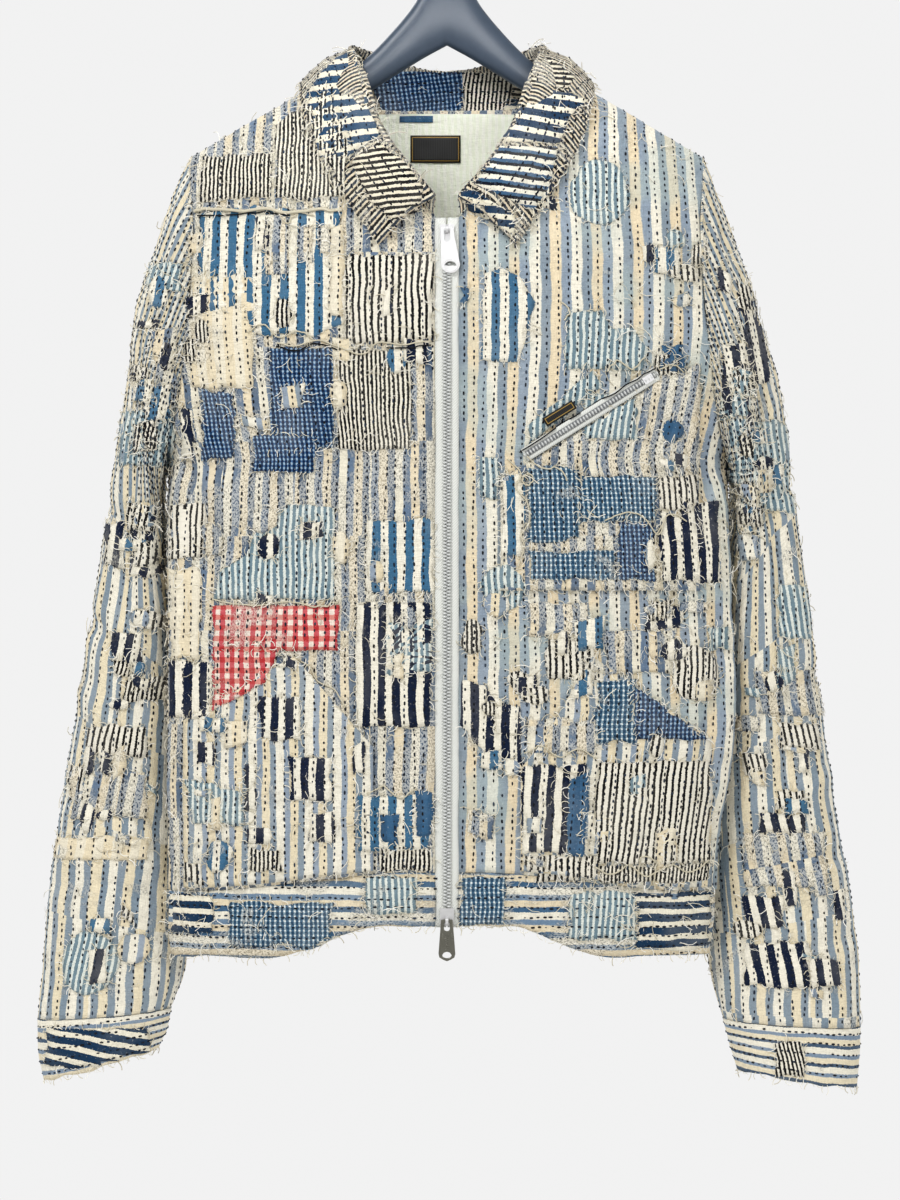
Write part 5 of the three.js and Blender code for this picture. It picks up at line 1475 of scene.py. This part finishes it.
FRONT_UP_TO = 4               # frays that start behind this depth belong to the back
front_frays = [run for run in frays if run[0][0][1] < FRONT_UP_TO]
back_frays = [run for run in frays if run[0][0][1] >= FRONT_UP_TO]
for name, runs, spacing, radius, seed in (("front_fraying", front_frays, 3.5, 0.32, 2),
                                          ("back_fraying", back_frays, 4.0, 0.34, 3)):
    pieces[name] = repeat(name, runs, FRAYS, FRAY, Spacing=spacing * MM, Length=5.6 * MM,
                          Radius=radius * MM, Seed=seed)

# Loose ends lying about the cloth.
loose = []
for cloth_name, count in (
        ("front_right", 190), ("front_left", 130), ("back", 260), ("sleeve_right", 150),
        ("sleeve_left", 150), ("collar", 60), ("waistband_right", 40), ("waistband_left", 40)):
    cloth = cloths[cloth_name]
    for _ in range(count):
        i = int(rng.integers(2, cloth.points.shape[0] - 2))
        j = int(rng.integers(1, cloth.points.shape[1] - 1))
        point, normal = cloth.points[i, j], cloth.normals[i, j]
        aim = np.cross(normal, rng.normal(size=3))
        aim = aim / max(np.linalg.norm(aim), 1e-6)
        hit = settle(point, normal)
        if hit is None:
            continue
        loose.append([(hit + normal * 0.5, normal, aim), (hit + normal * 0.5 + aim * 0.8, normal, aim)])
pieces["loose_threads"] = repeat("loose_threads", loose, FRAYS, FRAY, Spacing=2 * MM, Length=12 * MM,
                                 Radius=0.3 * MM, Seed=5)

# ---- inside the back neck


def flat_piece(name, face, middle, length, width, turn, lift, thickness, material, columns=12, rows=6,
               wave=0.0):
    """A small flat strip laid on the body about its middle, with the cloth it is made from."""
    along = np.linspace(-length / 2, length / 2, columns + 1)
    across = np.linspace(-width / 2, width / 2, rows + 1)
    points = np.zeros((rows + 1, columns + 1, 3))
    u, v = np.zeros(points.shape[:2]), np.zeros(points.shape[:2])
    for i, b in enumerate(across):
        for j, a in enumerate(along):
            x = middle[0] + a * math.cos(turn) + b * math.sin(turn)
            drop = middle[1] - a * math.sin(turn) + b * math.cos(turn)
            points[i, j] = on_body(face, x, drop)
            u[i, j], v[i, j] = a, b
    cloth = Cloth(points, u, v, OUTWARD[face])
    cloth.raise_by(lift + wave * value_noise(u / 9, v / 9, 12))
    return cloth.build(name, material, thickness), cloth


LINING_TOP, LINING_FOOT = 167, 300
lining_drop = np.linspace(LINING_TOP, LINING_FOOT, 34)[:, None]
half_width = mix(54, 70, smooth((lining_drop - LINING_TOP) / 30))
x = half_width * np.linspace(-1, 1, 40)[None, :]
turn = turn_for(x, seam_half(lining_drop))
grids = [body_point(side, "back", turn, lining_drop + 0 * x) * (np.sign(x) == side)[..., None]
         for side in (-1, 1)]
lining = Cloth(grids[0] + grids[1], x, lining_drop + 0 * x, OUTWARD["back"])
lining.raise_by(-4 + 0.5 * value_noise(x / 25, lining_drop / 22, 33))
pieces["neck_lining"] = lining.build("neck_lining_cloth", MATERIALS["lining"], 1.0)
pieces["neck_label"], _ = flat_piece(
    "neck_label_cloth", "back", (-9, 194), 39, 21, 0, -5.4, 0.8, NECK_LABEL, wave=0.3)
pieces["hanging_loop"], _ = flat_piece("hanging_loop_cloth", "back", (-24, 171), 26, 5, 0, -5.4, 1.0,
                                       MATERIALS["solid_blue"], wave=0.4)
zip_from, zip_to = np.array((58.0, 437.0)), np.array((157.0, 375.0))
ZIP_TURN = math.atan2(zip_from[1] - zip_to[1], zip_to[0] - zip_from[0])
pieces["pocket_label"], _ = flat_piece("pocket_label_cloth", "front", (84, 405.5), 26, 7.2, ZIP_TURN,
                                       3.4, 1.0, POCKET_LABEL)

# ---- zips


TAPE_EDGES = {-1: (-8.9, -0.5), 1: (0.5, 8.9)}
for side, name in SIDES:
    x = np.linspace(*TAPE_EDGES[side], 4)[None, :]
    drops = np.linspace(ZIP_TOP_DROP, ZIP_HEM_DROP, 111)[:, None]
    points = body_point(side, "front", turn_for(x, width_at(side, "front", drops)), drops + 0 * x)
    cloth = Cloth(points, x + 0 * drops, drops + 0 * x, OUTWARD["front"])
    pieces["zip_tape_" + name] = cloth.build(f"zip_tape_{name}_cloth", TAPE, 1.2)
TOOTH = 2.5                   # millimetres from one tooth to the next on one side
TEETH_TOP, TEETH_FOOT, TOOTH_OUT = 277, 775, 1.1


def tooth_line(x, offset):
    return [(on_body("front", x, drop) + TOOTH_OUT * OUTWARD["front"], np.array((0.0, -1.0, 0.0)))
            for drop in np.arange(TEETH_TOP + offset, TEETH_FOOT, 4)]


teeth_runs = [tooth_line(-1.5, 0.0), tooth_line(1.5, TOOTH / 2)]
pieces["zip_teeth"] = repeat("zip_teeth", teeth_runs, STITCHES, TEETH, Spacing=TOOTH * MM,
                             Size=(1.9 * MM, 4.8 * MM, 3.2 * MM), Scatter=0.0, Missing=-1.0, Seed=0)

middle = (zip_from + zip_to) / 2
zip_length = float(np.linalg.norm(zip_to - zip_from))
pieces["chest_zip"], chest_cloth = flat_piece(
    "chest_zip_tape", "front", tuple(middle), zip_length, 10.4, ZIP_TURN, 3.6, 1.2, TAPE, columns=40, rows=5)
coil = [(chest_cloth.points[2, j] * 0.5 + chest_cloth.points[3, j] * 0.5 + chest_cloth.normals[2, j] * 0.7,
         chest_cloth.normals[2, j]) for j in range(0, 41, 2)]
# the grey strip under the coil is painted shade in the gaps between its turns
pieces["chest_zip_bed"], _ = flat_piece(
    "chest_zip_coil_painted_shade", "front", tuple(middle), zip_length - 3, 4.4, ZIP_TURN, 4.1, 0.4, COIL_GAP_SHADE,
    columns=40, rows=2)
pieces["chest_zip_coil"] = repeat("chest_zip_coil", [coil], STITCHES, TEETH, Spacing=2.6 * MM,
                                  Size=(1.7 * MM, 4.2 * MM, 2.6 * MM), Scatter=0.0, Missing=-1.0, Seed=0)

# ---- hanger

HANGER_UNDER = 7
HANGER_REACH, HANGER_SIDES = 186, 28
ARM_FROM, ARM_DROP = 150, 206           # where the arms leave the notch
hanger_rise = through([(0, 65), (13, 68), (26, 90), (45, 113), (62, 130), (88, 150)])
hanger_notch = through([(0, 120), (20, 131), (62, 157), (88, 172), (150, 206)])
hanger_depth = through([(0, 8), (40, 8), (88, 7), (130, 11), (170, 14), (186, 10)])


def hanger_ring(x):
    a = abs(x)
    upper = float(hanger_rise(a)) if a < NECK_HALF else shoulder_drop(a) + HANGER_UNDER
    lower = float(hanger_notch(a)) if a < ARM_FROM else ARM_DROP + (a - ARM_FROM) * SHOULDER_SLOPE
    half, depth = (lower - upper) / 2, float(hanger_depth(a))
    angles = np.linspace(0, 2 * np.pi, HANGER_SIDES, endpoint=False)
    round_y, round_z = [reach * np.sign(wave) * np.abs(wave) ** 0.8
                        for reach, wave in ((depth, np.cos(angles)), (half, np.sin(angles)))]
    return np.stack([np.full(HANGER_SIDES, x), round_y, -(upper + lower) / 2 - round_z], -1)


def closed_loft(name, rings, material):
    """A solid through rings of points, with a flat cap on each end."""
    around = rings - rings.mean(axis=1, keepdims=True)
    skin = Cloth(rings, rings[..., 0], rings[..., 2], around, closed=True)
    count, sides = rings.shape[:2]
    caps = [list(range(sides)), list(range((count - 1) * sides, count * sides))[::-1]]
    if skin.turned:
        caps = [cap[::-1] for cap in caps]
    return new_object(name, rings.reshape(-1, 3), skin.faces() + caps, None, material)


reaches = np.linspace(0, HANGER_REACH, 72)
stations = np.concatenate([-reaches[:0:-1], reaches])
pieces["hanger"] = closed_loft("contoured_hanger", np.stack([hanger_ring(x) for x in stations]), HANGER)

WIRE = 2.1                    # the hook wire's radius
centre, radius = 19.0, 21.1
bend = [math.radians(-62 + k * 18.5) for k in range(15)]
route = [(0, -64.7), (0, -58), (2.5, -49)] + [
    (radius * math.cos(t), radius * math.sin(t) - centre) for t in bend]
route = resample(route, 120)
along = np.gradient(route, axis=0)
along = along / np.linalg.norm(along, axis=1, keepdims=True)
angles = np.linspace(0, 2 * np.pi, 16, endpoint=False)
aside, outwards = WIRE * np.cos(angles), WIRE * np.sin(angles)
wire = np.stack([np.stack([p[0] - d[1] * aside, outwards, p[1] + d[0] * aside], -1)
                 for p, d in zip(route, along)])
pieces["hook"] = closed_loft("hanger_hook_wire", wire, STEEL)

# ---- yarn laid on the front, and dark thread as painted shadow lines


def unit(vectors):
    return vectors / np.maximum(np.linalg.norm(vectors, axis=1, keepdims=True), 1e-9)


def yarn(name, routes, radius, material, tree, sides=6):
    """Loose yarn lying on the cloth along given (distance across, drop) routes; also dark thread for painted
    shadow lines.
    """
    verts, faces = [], []
    around = np.linspace(0, 2 * np.pi, sides, endpoint=False)
    for number, (closed, route) in enumerate(routes):
        flat = resample(np.array(route + route[:1] if closed else route, float), 8 * len(route))
        place, lifted_by = [], []
        for k, (x, drop) in enumerate(flat):
            wander = 0.9 * float(value_noise(np.array(k / 3.0), np.array(number * 7.3), 51))
            point, normal = project(tree, x + wander, drop + wander, -1)
            if point is not None:
                place.append(point + normal * (radius + 0.5))
                lifted_by.append(normal)
        place, lifted_by = np.array(place), np.array(lifted_by)
        along = unit(np.gradient(place, axis=0))
        beside = unit(np.cross(along, lifted_by))
        start = len(verts)
        for p, d, b in zip(place, along, beside):
            other = np.cross(b, d)
            verts += [p + radius * (b * math.cos(t) + other * math.sin(t)) for t in around]
        for k in range(len(place) - 1):
            for j in range(sides):
                n = (j + 1) % sides
                row = start + k * sides
                faces.append((row + j, row + n, row + sides + n, row + sides + j))
        last = start + (len(place) - 1) * sides
        faces.append(tuple(range(start, start + sides))[::-1])
        faces.append(tuple(range(last, last + sides)))
    return new_object(name, verts, faces, None, material)


ringlet = [(60.5 + 4 * math.cos(a), 455 + 4.6 * math.sin(a)) for a in np.linspace(0, 5.6, 9)]
YARN_ROUTES = [
    (False, [(46, 440), (55, 450), (52, 462), (60, 472), (61, 486), (56, 496), (58, 508), (52, 520)]),
    (True, ringlet),
    (False, [(118, 486), (126, 482), (140, 480), (150, 486), (158, 496), (164, 482), (172, 481), (180, 486)]),
    (False, [(163, 484), (158, 494), (156, 508), (160, 520), (160, 536)]),
    (False, [(60, 438), (70, 446), (84, 447), (90, 456)]),
    (False, [(110, 744), (122, 750), (136, 744), (150, 752), (168, 744), (182, 750), (198, 742)]),
    (False, [(142, 752), (146, 738), (156, 742), (154, 758)]), (False, [(160, 372), (170, 368), (178, 374)]),
    (False, [(-150, 344), (-138, 338), (-126, 348), (-110, 344), (-100, 350)]),
    (False, [(-128, 352), (-112, 355), (-96, 350), (-82, 355), (-64, 361), (-50, 353), (-30, 354),
             (-12, 351)]),
    (False, [(-128, 252), (-120, 262), (-112, 254), (-100, 256)]),
    (False, [(148, 362), (140, 372), (128, 366), (120, 374)]), (False, [(84, 320), (92, 328), (88, 336)]),
    (False, [(-176, 545), (-150, 549), (-120, 546), (-96, 550), (-82, 546)]),
    (False, [(-118, 586), (-104, 594), (-96, 606), (-84, 612), (-76, 626)]),
    (False, [(58, 660), (70, 654), (84, 662), (98, 656), (112, 664)]),
    (False, [(-200, 586), (-190, 592), (-184, 586)]),
    (False, [(-60, 690), (-48, 684), (-36, 692), (-22, 686)]),
]
ROLLED_EDGE = [(False, [(-190, 252), (-182, 250), (-160, 252.5), (-138, 251), (-118, 254), (-98, 252),
                        (-78, 253.5)])]
# Dark thread just below the rolled edge, under two laid yarns and along the chest zip's upper edge: painted
# shadow lines where these raised edges cast shade.
SHADOW_LINES = [(False, [(-128, 355), (-112, 358), (-96, 353), (-82, 358)]),
              (False, [(-46, 356), (-30, 357), (-12, 354)]),
              (False, [(-188, 254.8), (-160, 255.2), (-138, 253.8), (-118, 256.8)]),
              (False, [(54, 434), (80, 417.5), (110, 399), (140, 380), (156, 370)])]
topmost = tree_of(shells + [pieces[k] for k in pieces if "patch" in k] + [pieces["chest_zip"]])
pieces["laid_yarn"] = yarn("laid_yarn", YARN_ROUTES, 0.55, FRAY, topmost)
pieces["rolled_edge"] = yarn("rolled_edge", ROLLED_EDGE, 1.2, FRAY, topmost, sides=8)
# the dark thread is painted shadow, drawn with the stitches' navy thread
pieces["painted_shadow_thread"] = yarn("painted_shadow_thread", SHADOW_LINES, 0.5, STITCH, topmost)

# ---- sliders and pulls

for node in ("zip_slider_top", "zip_slider_bottom", "chest_zip_slider"):
    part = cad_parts[node]
    part.data.materials.clear()
    part.data.materials.append(ZINC)

PIVOT_OUT = 4.8               # the pull's bar, in front of the tape
PIVOT_OFF = 2.8               # and along the zip from its slider's middle
TOP_SLIDER, BOTTOM_SLIDER = 270, 782
PULL_EDGE = 0.35              # rounding of the pulls' edges


def arc(cx, cz, rx, rz, start, end, count=10):
    turns = [math.radians(start + (end - start) * k / (count - 1)) for k in range(count)]
    return [(cx + rx * math.cos(t), cz + rz * math.sin(t)) for t in turns]


def plate(name, outlines, thickness, place, material, edge=PULL_EDGE):
    """A flat cast plate with rounded edges: the first outline is its rim, the others are holes."""
    data = bpy.data.curves.new(name, "CURVE")
    data.dimensions, data.fill_mode = "2D", "BOTH"
    data.extrude, data.bevel_depth = (thickness / 2 - edge) * MM, edge * MM
    data.bevel_resolution, data.offset = 2, -edge * MM
    for outline in outlines:
        spline = data.splines.new("POLY")
        spline.points.add(len(outline) - 1)
        for point, (x, z) in zip(spline.points, outline):
            point.co = (x * MM, z * MM, 0, 1)
        spline.use_cyclic_u = True
    curve = in_scene(name + "_outline", data)
    graph = bpy.context.evaluated_depsgraph_get()
    mesh = bpy.data.meshes.new_from_object(curve.evaluated_get(graph))
    bpy.data.objects.remove(curve)
    for vertex in mesh.vertices:
        x, y, z = vertex.co
        vertex.co = (place[0] * MM + x, place[1] * MM - z, place[2] * MM + y)
    mesh.name = name
    mesh.materials.clear()
    mesh.materials.append(material)
    return in_scene(name, mesh)


def joined(name, parts):
    """One mesh out of several parts of one material."""
    verts, faces = [], []
    for part in parts:
        start = len(verts)
        verts += [tuple(v.co / MM) for v in part.data.vertices]
        faces += [[start + k for k in p.vertices] for p in part.data.polygons]
    obj = new_object(name, verts, faces, None, parts[0].data.materials[0])
    for part in parts:
        bpy.data.objects.remove(part)
    return obj


top_pivot = (0, -(float(front_depth(TOP_SLIDER)) + PIVOT_OUT), -TOP_SLIDER + PIVOT_OFF)
foot = arc(2.6, -26.5, 7.2, 6.5, 0, -180, 16)
top_rim = [(-4.6, 0.9), (-3.6, 1.2), (3.6, 1.2), (4.6, 0.9)] + foot
top_slot = arc(0, -2.6, 2.2, 1.9, 0, 180, 8) + arc(0.2, -7.4, 2.2, 2.0, 180, 360, 8)
half_moon = arc(2.6, -27.6, 4.3, 3.4, 0, 180, 12)
pull = plate("zip_pull_top_plate", [top_rim, top_slot, half_moon], 1.6, top_pivot, ENAMEL)
raised = [arc(2.6, -27.0, half_wide, half_high, 0, 360, 28)[:-1]
          for half_wide, half_high in ((5.9, 4.9), (4.9, 4.0))]
rim = plate("zip_pull_top_rim", raised, 0.5, (top_pivot[0], top_pivot[1] - 0.9, top_pivot[2]), ENAMEL, 0.15)
pieces["pull_top"] = joined("zip_pull_top_tab", [pull, rim])

foot_pivot = (0, -(float(front_depth(BOTTOM_SLIDER)) + PIVOT_OUT), -BOTTOM_SLIDER - PIVOT_OFF)
bottom_rim = [(-4.4, 0.8), (-3.4, 1.2), (3.4, 1.2), (4.4, 0.8)] + [
    (6.3, -24.5), (5.6, -27.2), (2.6, -29.0), (0, -30.0), (-2.6, -29.0), (-5.6, -27.2), (-6.3, -24.5)]
bottom_slot = arc(0, -2.4, 2.2, 1.7, 0, 180, 8) + arc(0, -5.6, 2.2, 1.9, 180, 360, 8)
teardrop = arc(0, -25.4, 3.5, 2.3, -180, 0, 12) + [(2.2, -23.6), (0, -22.9), (-2.2, -23.6)]
pull = plate("zip_pull_bottom_plate", [bottom_rim, bottom_slot, teardrop], 1.5, foot_pivot, GUNMETAL)
ridge_place = (foot_pivot[0], foot_pivot[1] - 0.95, foot_pivot[2])
ridges = [plate(f"zip_pull_bottom_ridge_{side}", [[
    (side * 3.3 - 0.55, -9.0), (side * 3.3 + 0.55, -9.0), (side * 4.1 + 0.6, -21.5),
    (side * 4.1 - 0.6, -21.5)]], 0.7, ridge_place, GUNMETAL, 0.2) for side in (-1, 1)]
bumps = [plate("zip_pull_bottom_bump_%d" % k, [arc(0, -10.2 - 1.55 * k, 1.5, 0.5, 0, 360, 13)[:-1]],
               0.7, ridge_place, GUNMETAL, 0.2) for k in range(8)]
pieces["pull_bottom"] = joined("zip_pull_bottom_tab", [pull] + ridges + bumps)

# ---- riding, replacing and declaring

JACKET = "jacket"
BODIES = {"pull_top": "top_pull", "pull_bottom": "bottom_pull"}
for key, obj in pieces.items():
    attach(obj, BODIES.get(key, JACKET))

# each sheet's cut, in metres: width, length and the area of the shape within them, then what
# it hangs from or lies on, and the pieces that go with it
SHEETS = {
    "front_right": (0.285, 0.645, 0.127, "hung", ["hanger"], [
        "front_patches", "front_stitches", "front_fraying", "loose_threads", "laid_yarn", "rolled_edge",
        "painted_shadow_thread"]),
    "front_left": (0.285, 0.645, 0.128, "hung", ["hanger"], []),
    "back": (0.475, 0.640, 0.260, "hung", ["hanger"], ["back_patches", "back_stitches", "back_fraying"]),
    "waistband_right": (0.240, 0.055, 0.0114, "hung", ["front_right"], []),
    "waistband_left": (0.228, 0.055, 0.0109, "hung", ["front_left"], []),
    "waistband_back": (0.450, 0.042, 0.0186, "hung", ["back"], ["waistband_patches"]),
    "sleeve_right": (0.525, 0.678, 0.147, "hung", ["hanger"], [
        "sleeve_right_patches", "sleeve_right_stitches"]),
    "sleeve_left": (0.525, 0.685, 0.153, "hung", ["hanger"], [
        "sleeve_left_patches", "sleeve_left_stitches"]),
    "cuff_right": (0.270, 0.048, 0.0100, "hung", ["sleeve_right"], ["trim_stitches"]),
    "cuff_left": (0.275, 0.046, 0.0110, "hung", ["sleeve_left"], []),
    "collar": (0.651, 0.115, 0.0484, "folded", ["back"], ["collar_patches", "collar_stitches"]),
    "chest_pocket": (0.175, 0.167, 0.0202, "hung", ["front_left"], ["pocket_patches"]),
    "hand_pocket_right": (0.191, 0.168, 0.0211, "hung", ["front_right"], []),
    "hand_pocket_left": (0.214, 0.168, 0.0202, "hung", ["front_left"], []),
    "patch_pinstripe_right": (0.058, 0.078, 0.0042, "laid", ["front_right"], []),
    "patch_check_right": (0.050, 0.078, 0.0037, "laid", ["front_right"], []),
    "patch_light_blue_right": (0.095, 0.074, 0.0050, "laid", ["front_right"], []),
    "patch_gingham_right": (0.099, 0.082, 0.0052, "laid", ["front_right"], []),
    "patch_stripe_right": (0.059, 0.095, 0.0053, "laid", ["front_right"], []),
    "patch_light_blue_left": (0.066, 0.046, 0.0023, "laid", ["front_left"], []),
    "patch_stripe_left": (0.042, 0.071, 0.0023, "laid", ["front_left"], []),
    "neck_lining": (0.140, 0.138, 0.0182, "hung", ["back"], []),
    "neck_label": (0.039, 0.021, 0.0008, "laid", ["neck_lining"], []),
    "hanging_loop": (0.026, 0.010, 0.00013, "laid", ["neck_lining"], []),
    "pocket_label": (0.026, 0.010, 0.00019, "laid", ["front_left"], []),
    "zip_tape_right": (0.010, 0.532, 0.0045, "hung", ["front_right"], ["zip_teeth"]),
    "zip_tape_left": (0.010, 0.532, 0.0045, "hung", ["front_left"], []),
    "chest_zip": (0.118, 0.0105, 0.00123, "laid", ["front_left"], ["chest_zip_bed", "chest_zip_coil"]),
}
# each sheet, and the hanger, takes the place of the node of its own name
REPLACED = {key: key for key in [*SHEETS, "hanger"]}
REPLACED.update(zip_teeth="zip_chain", hook="hanger_hook", pull_top="zip_pull_top",
                pull_bottom="zip_pull_bottom")
for key, node in REPLACED.items():
    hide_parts(node)

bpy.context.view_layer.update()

# ---- floor and light


FLOOR_DROP, FLOOR_RADIUS = 1.65, 3.0    # metres: the rail hangs at about head height


def studio():
    """A pale round floor that fades out into the background."""
    angles = np.linspace(0, 2 * np.pi, 96, endpoint=False)
    verts = [(FLOOR_RADIUS * math.cos(a), FLOOR_RADIUS * math.sin(a), -FLOOR_DROP) for a in angles]
    mesh = bpy.data.meshes.new("studio_floor")
    mesh.from_pydata(verts, [], [list(range(len(verts)))])
    obj = in_scene("studio_floor", mesh)
    material, tree, shader = surface("pale matt floor")
    where = add(tree, "ShaderNodeTexCoord").outputs["Object"]
    grain = add(tree, "ShaderNodeTexNoise", {"Vector": where, "Scale": 40.0}).outputs[0]
    tree.links.new(ramp(tree, grain, [(0.0, "#ECECEC"), (1.0, "#F0F0F0")]), shader.inputs["Base Color"])
    shader.inputs["Roughness"].default_value = 0.95
    axes = add(tree, "ShaderNodeSeparateXYZ", {0: where})
    flat = add(tree, "ShaderNodeCombineXYZ", {0: axes.outputs[0], 1: axes.outputs[1]})
    reach = add(tree, "ShaderNodeVectorMath", {0: flat.outputs[0]}, operation="LENGTH").outputs["Value"]
    tree.links.new(step(tree, reach, FLOOR_RADIUS - 0.1, 0.8), shader.inputs["Alpha"])
    mesh.materials.append(material)


def lamp(name, place, aim, size, power, spread=180):
    data = bpy.data.lights.new(name, "AREA")
    data.shape = "DISK"
    data.size, data.energy, data.spread = size, power, math.radians(spread)
    obj = in_scene(name, data)
    obj.location = place
    obj.rotation_euler = (Vector(aim) - Vector(place)).to_track_quat("-Z", "Y").to_euler()


studio()
AIM = (0, 0, -0.5)
lamp("key", (-1.3, -2.0, 1.5), AIM, 1.2, 40)
lamp("fill", (1.9, -2.4, 0.2), AIM, 1.8, 15)
# a narrow beam into the neck opening, past the hanger
lamp("neck", (0.0, -0.6, -0.02), (0.0, 0.04, -0.15), 0.2, 0.05, 32)
lamp("rear left", (-1.6, 2.0, 1.0), AIM, 1.6, 20)
lamp("rear right", (1.8, 1.9, 0.6), AIM, 1.6, 16)
world = bpy.data.worlds.new("studio")
world.use_nodes = True
nodes, links = world.node_tree.nodes, world.node_tree.links
AMBIENT = 0.57                # share of the background's brightness that lights the jacket
backdrop = nodes["Background"]
backdrop.inputs["Color"].default_value = colour("#E0E0E0")
ambient = nodes.new("ShaderNodeBackground")
ambient.inputs["Color"].default_value = colour("#F5F4F0")
ambient.inputs["Strength"].default_value = AMBIENT
seen = nodes.new("ShaderNodeLightPath")
either = nodes.new("ShaderNodeMixShader")
links.new(seen.outputs["Is Camera Ray"], either.inputs[0])
links.new(ambient.outputs[0], either.inputs[1])
links.new(backdrop.outputs[0], either.inputs[2])
links.new(either.outputs[0], nodes["World Output"].inputs[0])
bpy.context.scene.world = world
bpy.context.scene.view_settings.view_transform = "Standard"
bpy.context.scene.view_settings.look = "Medium High Contrast"
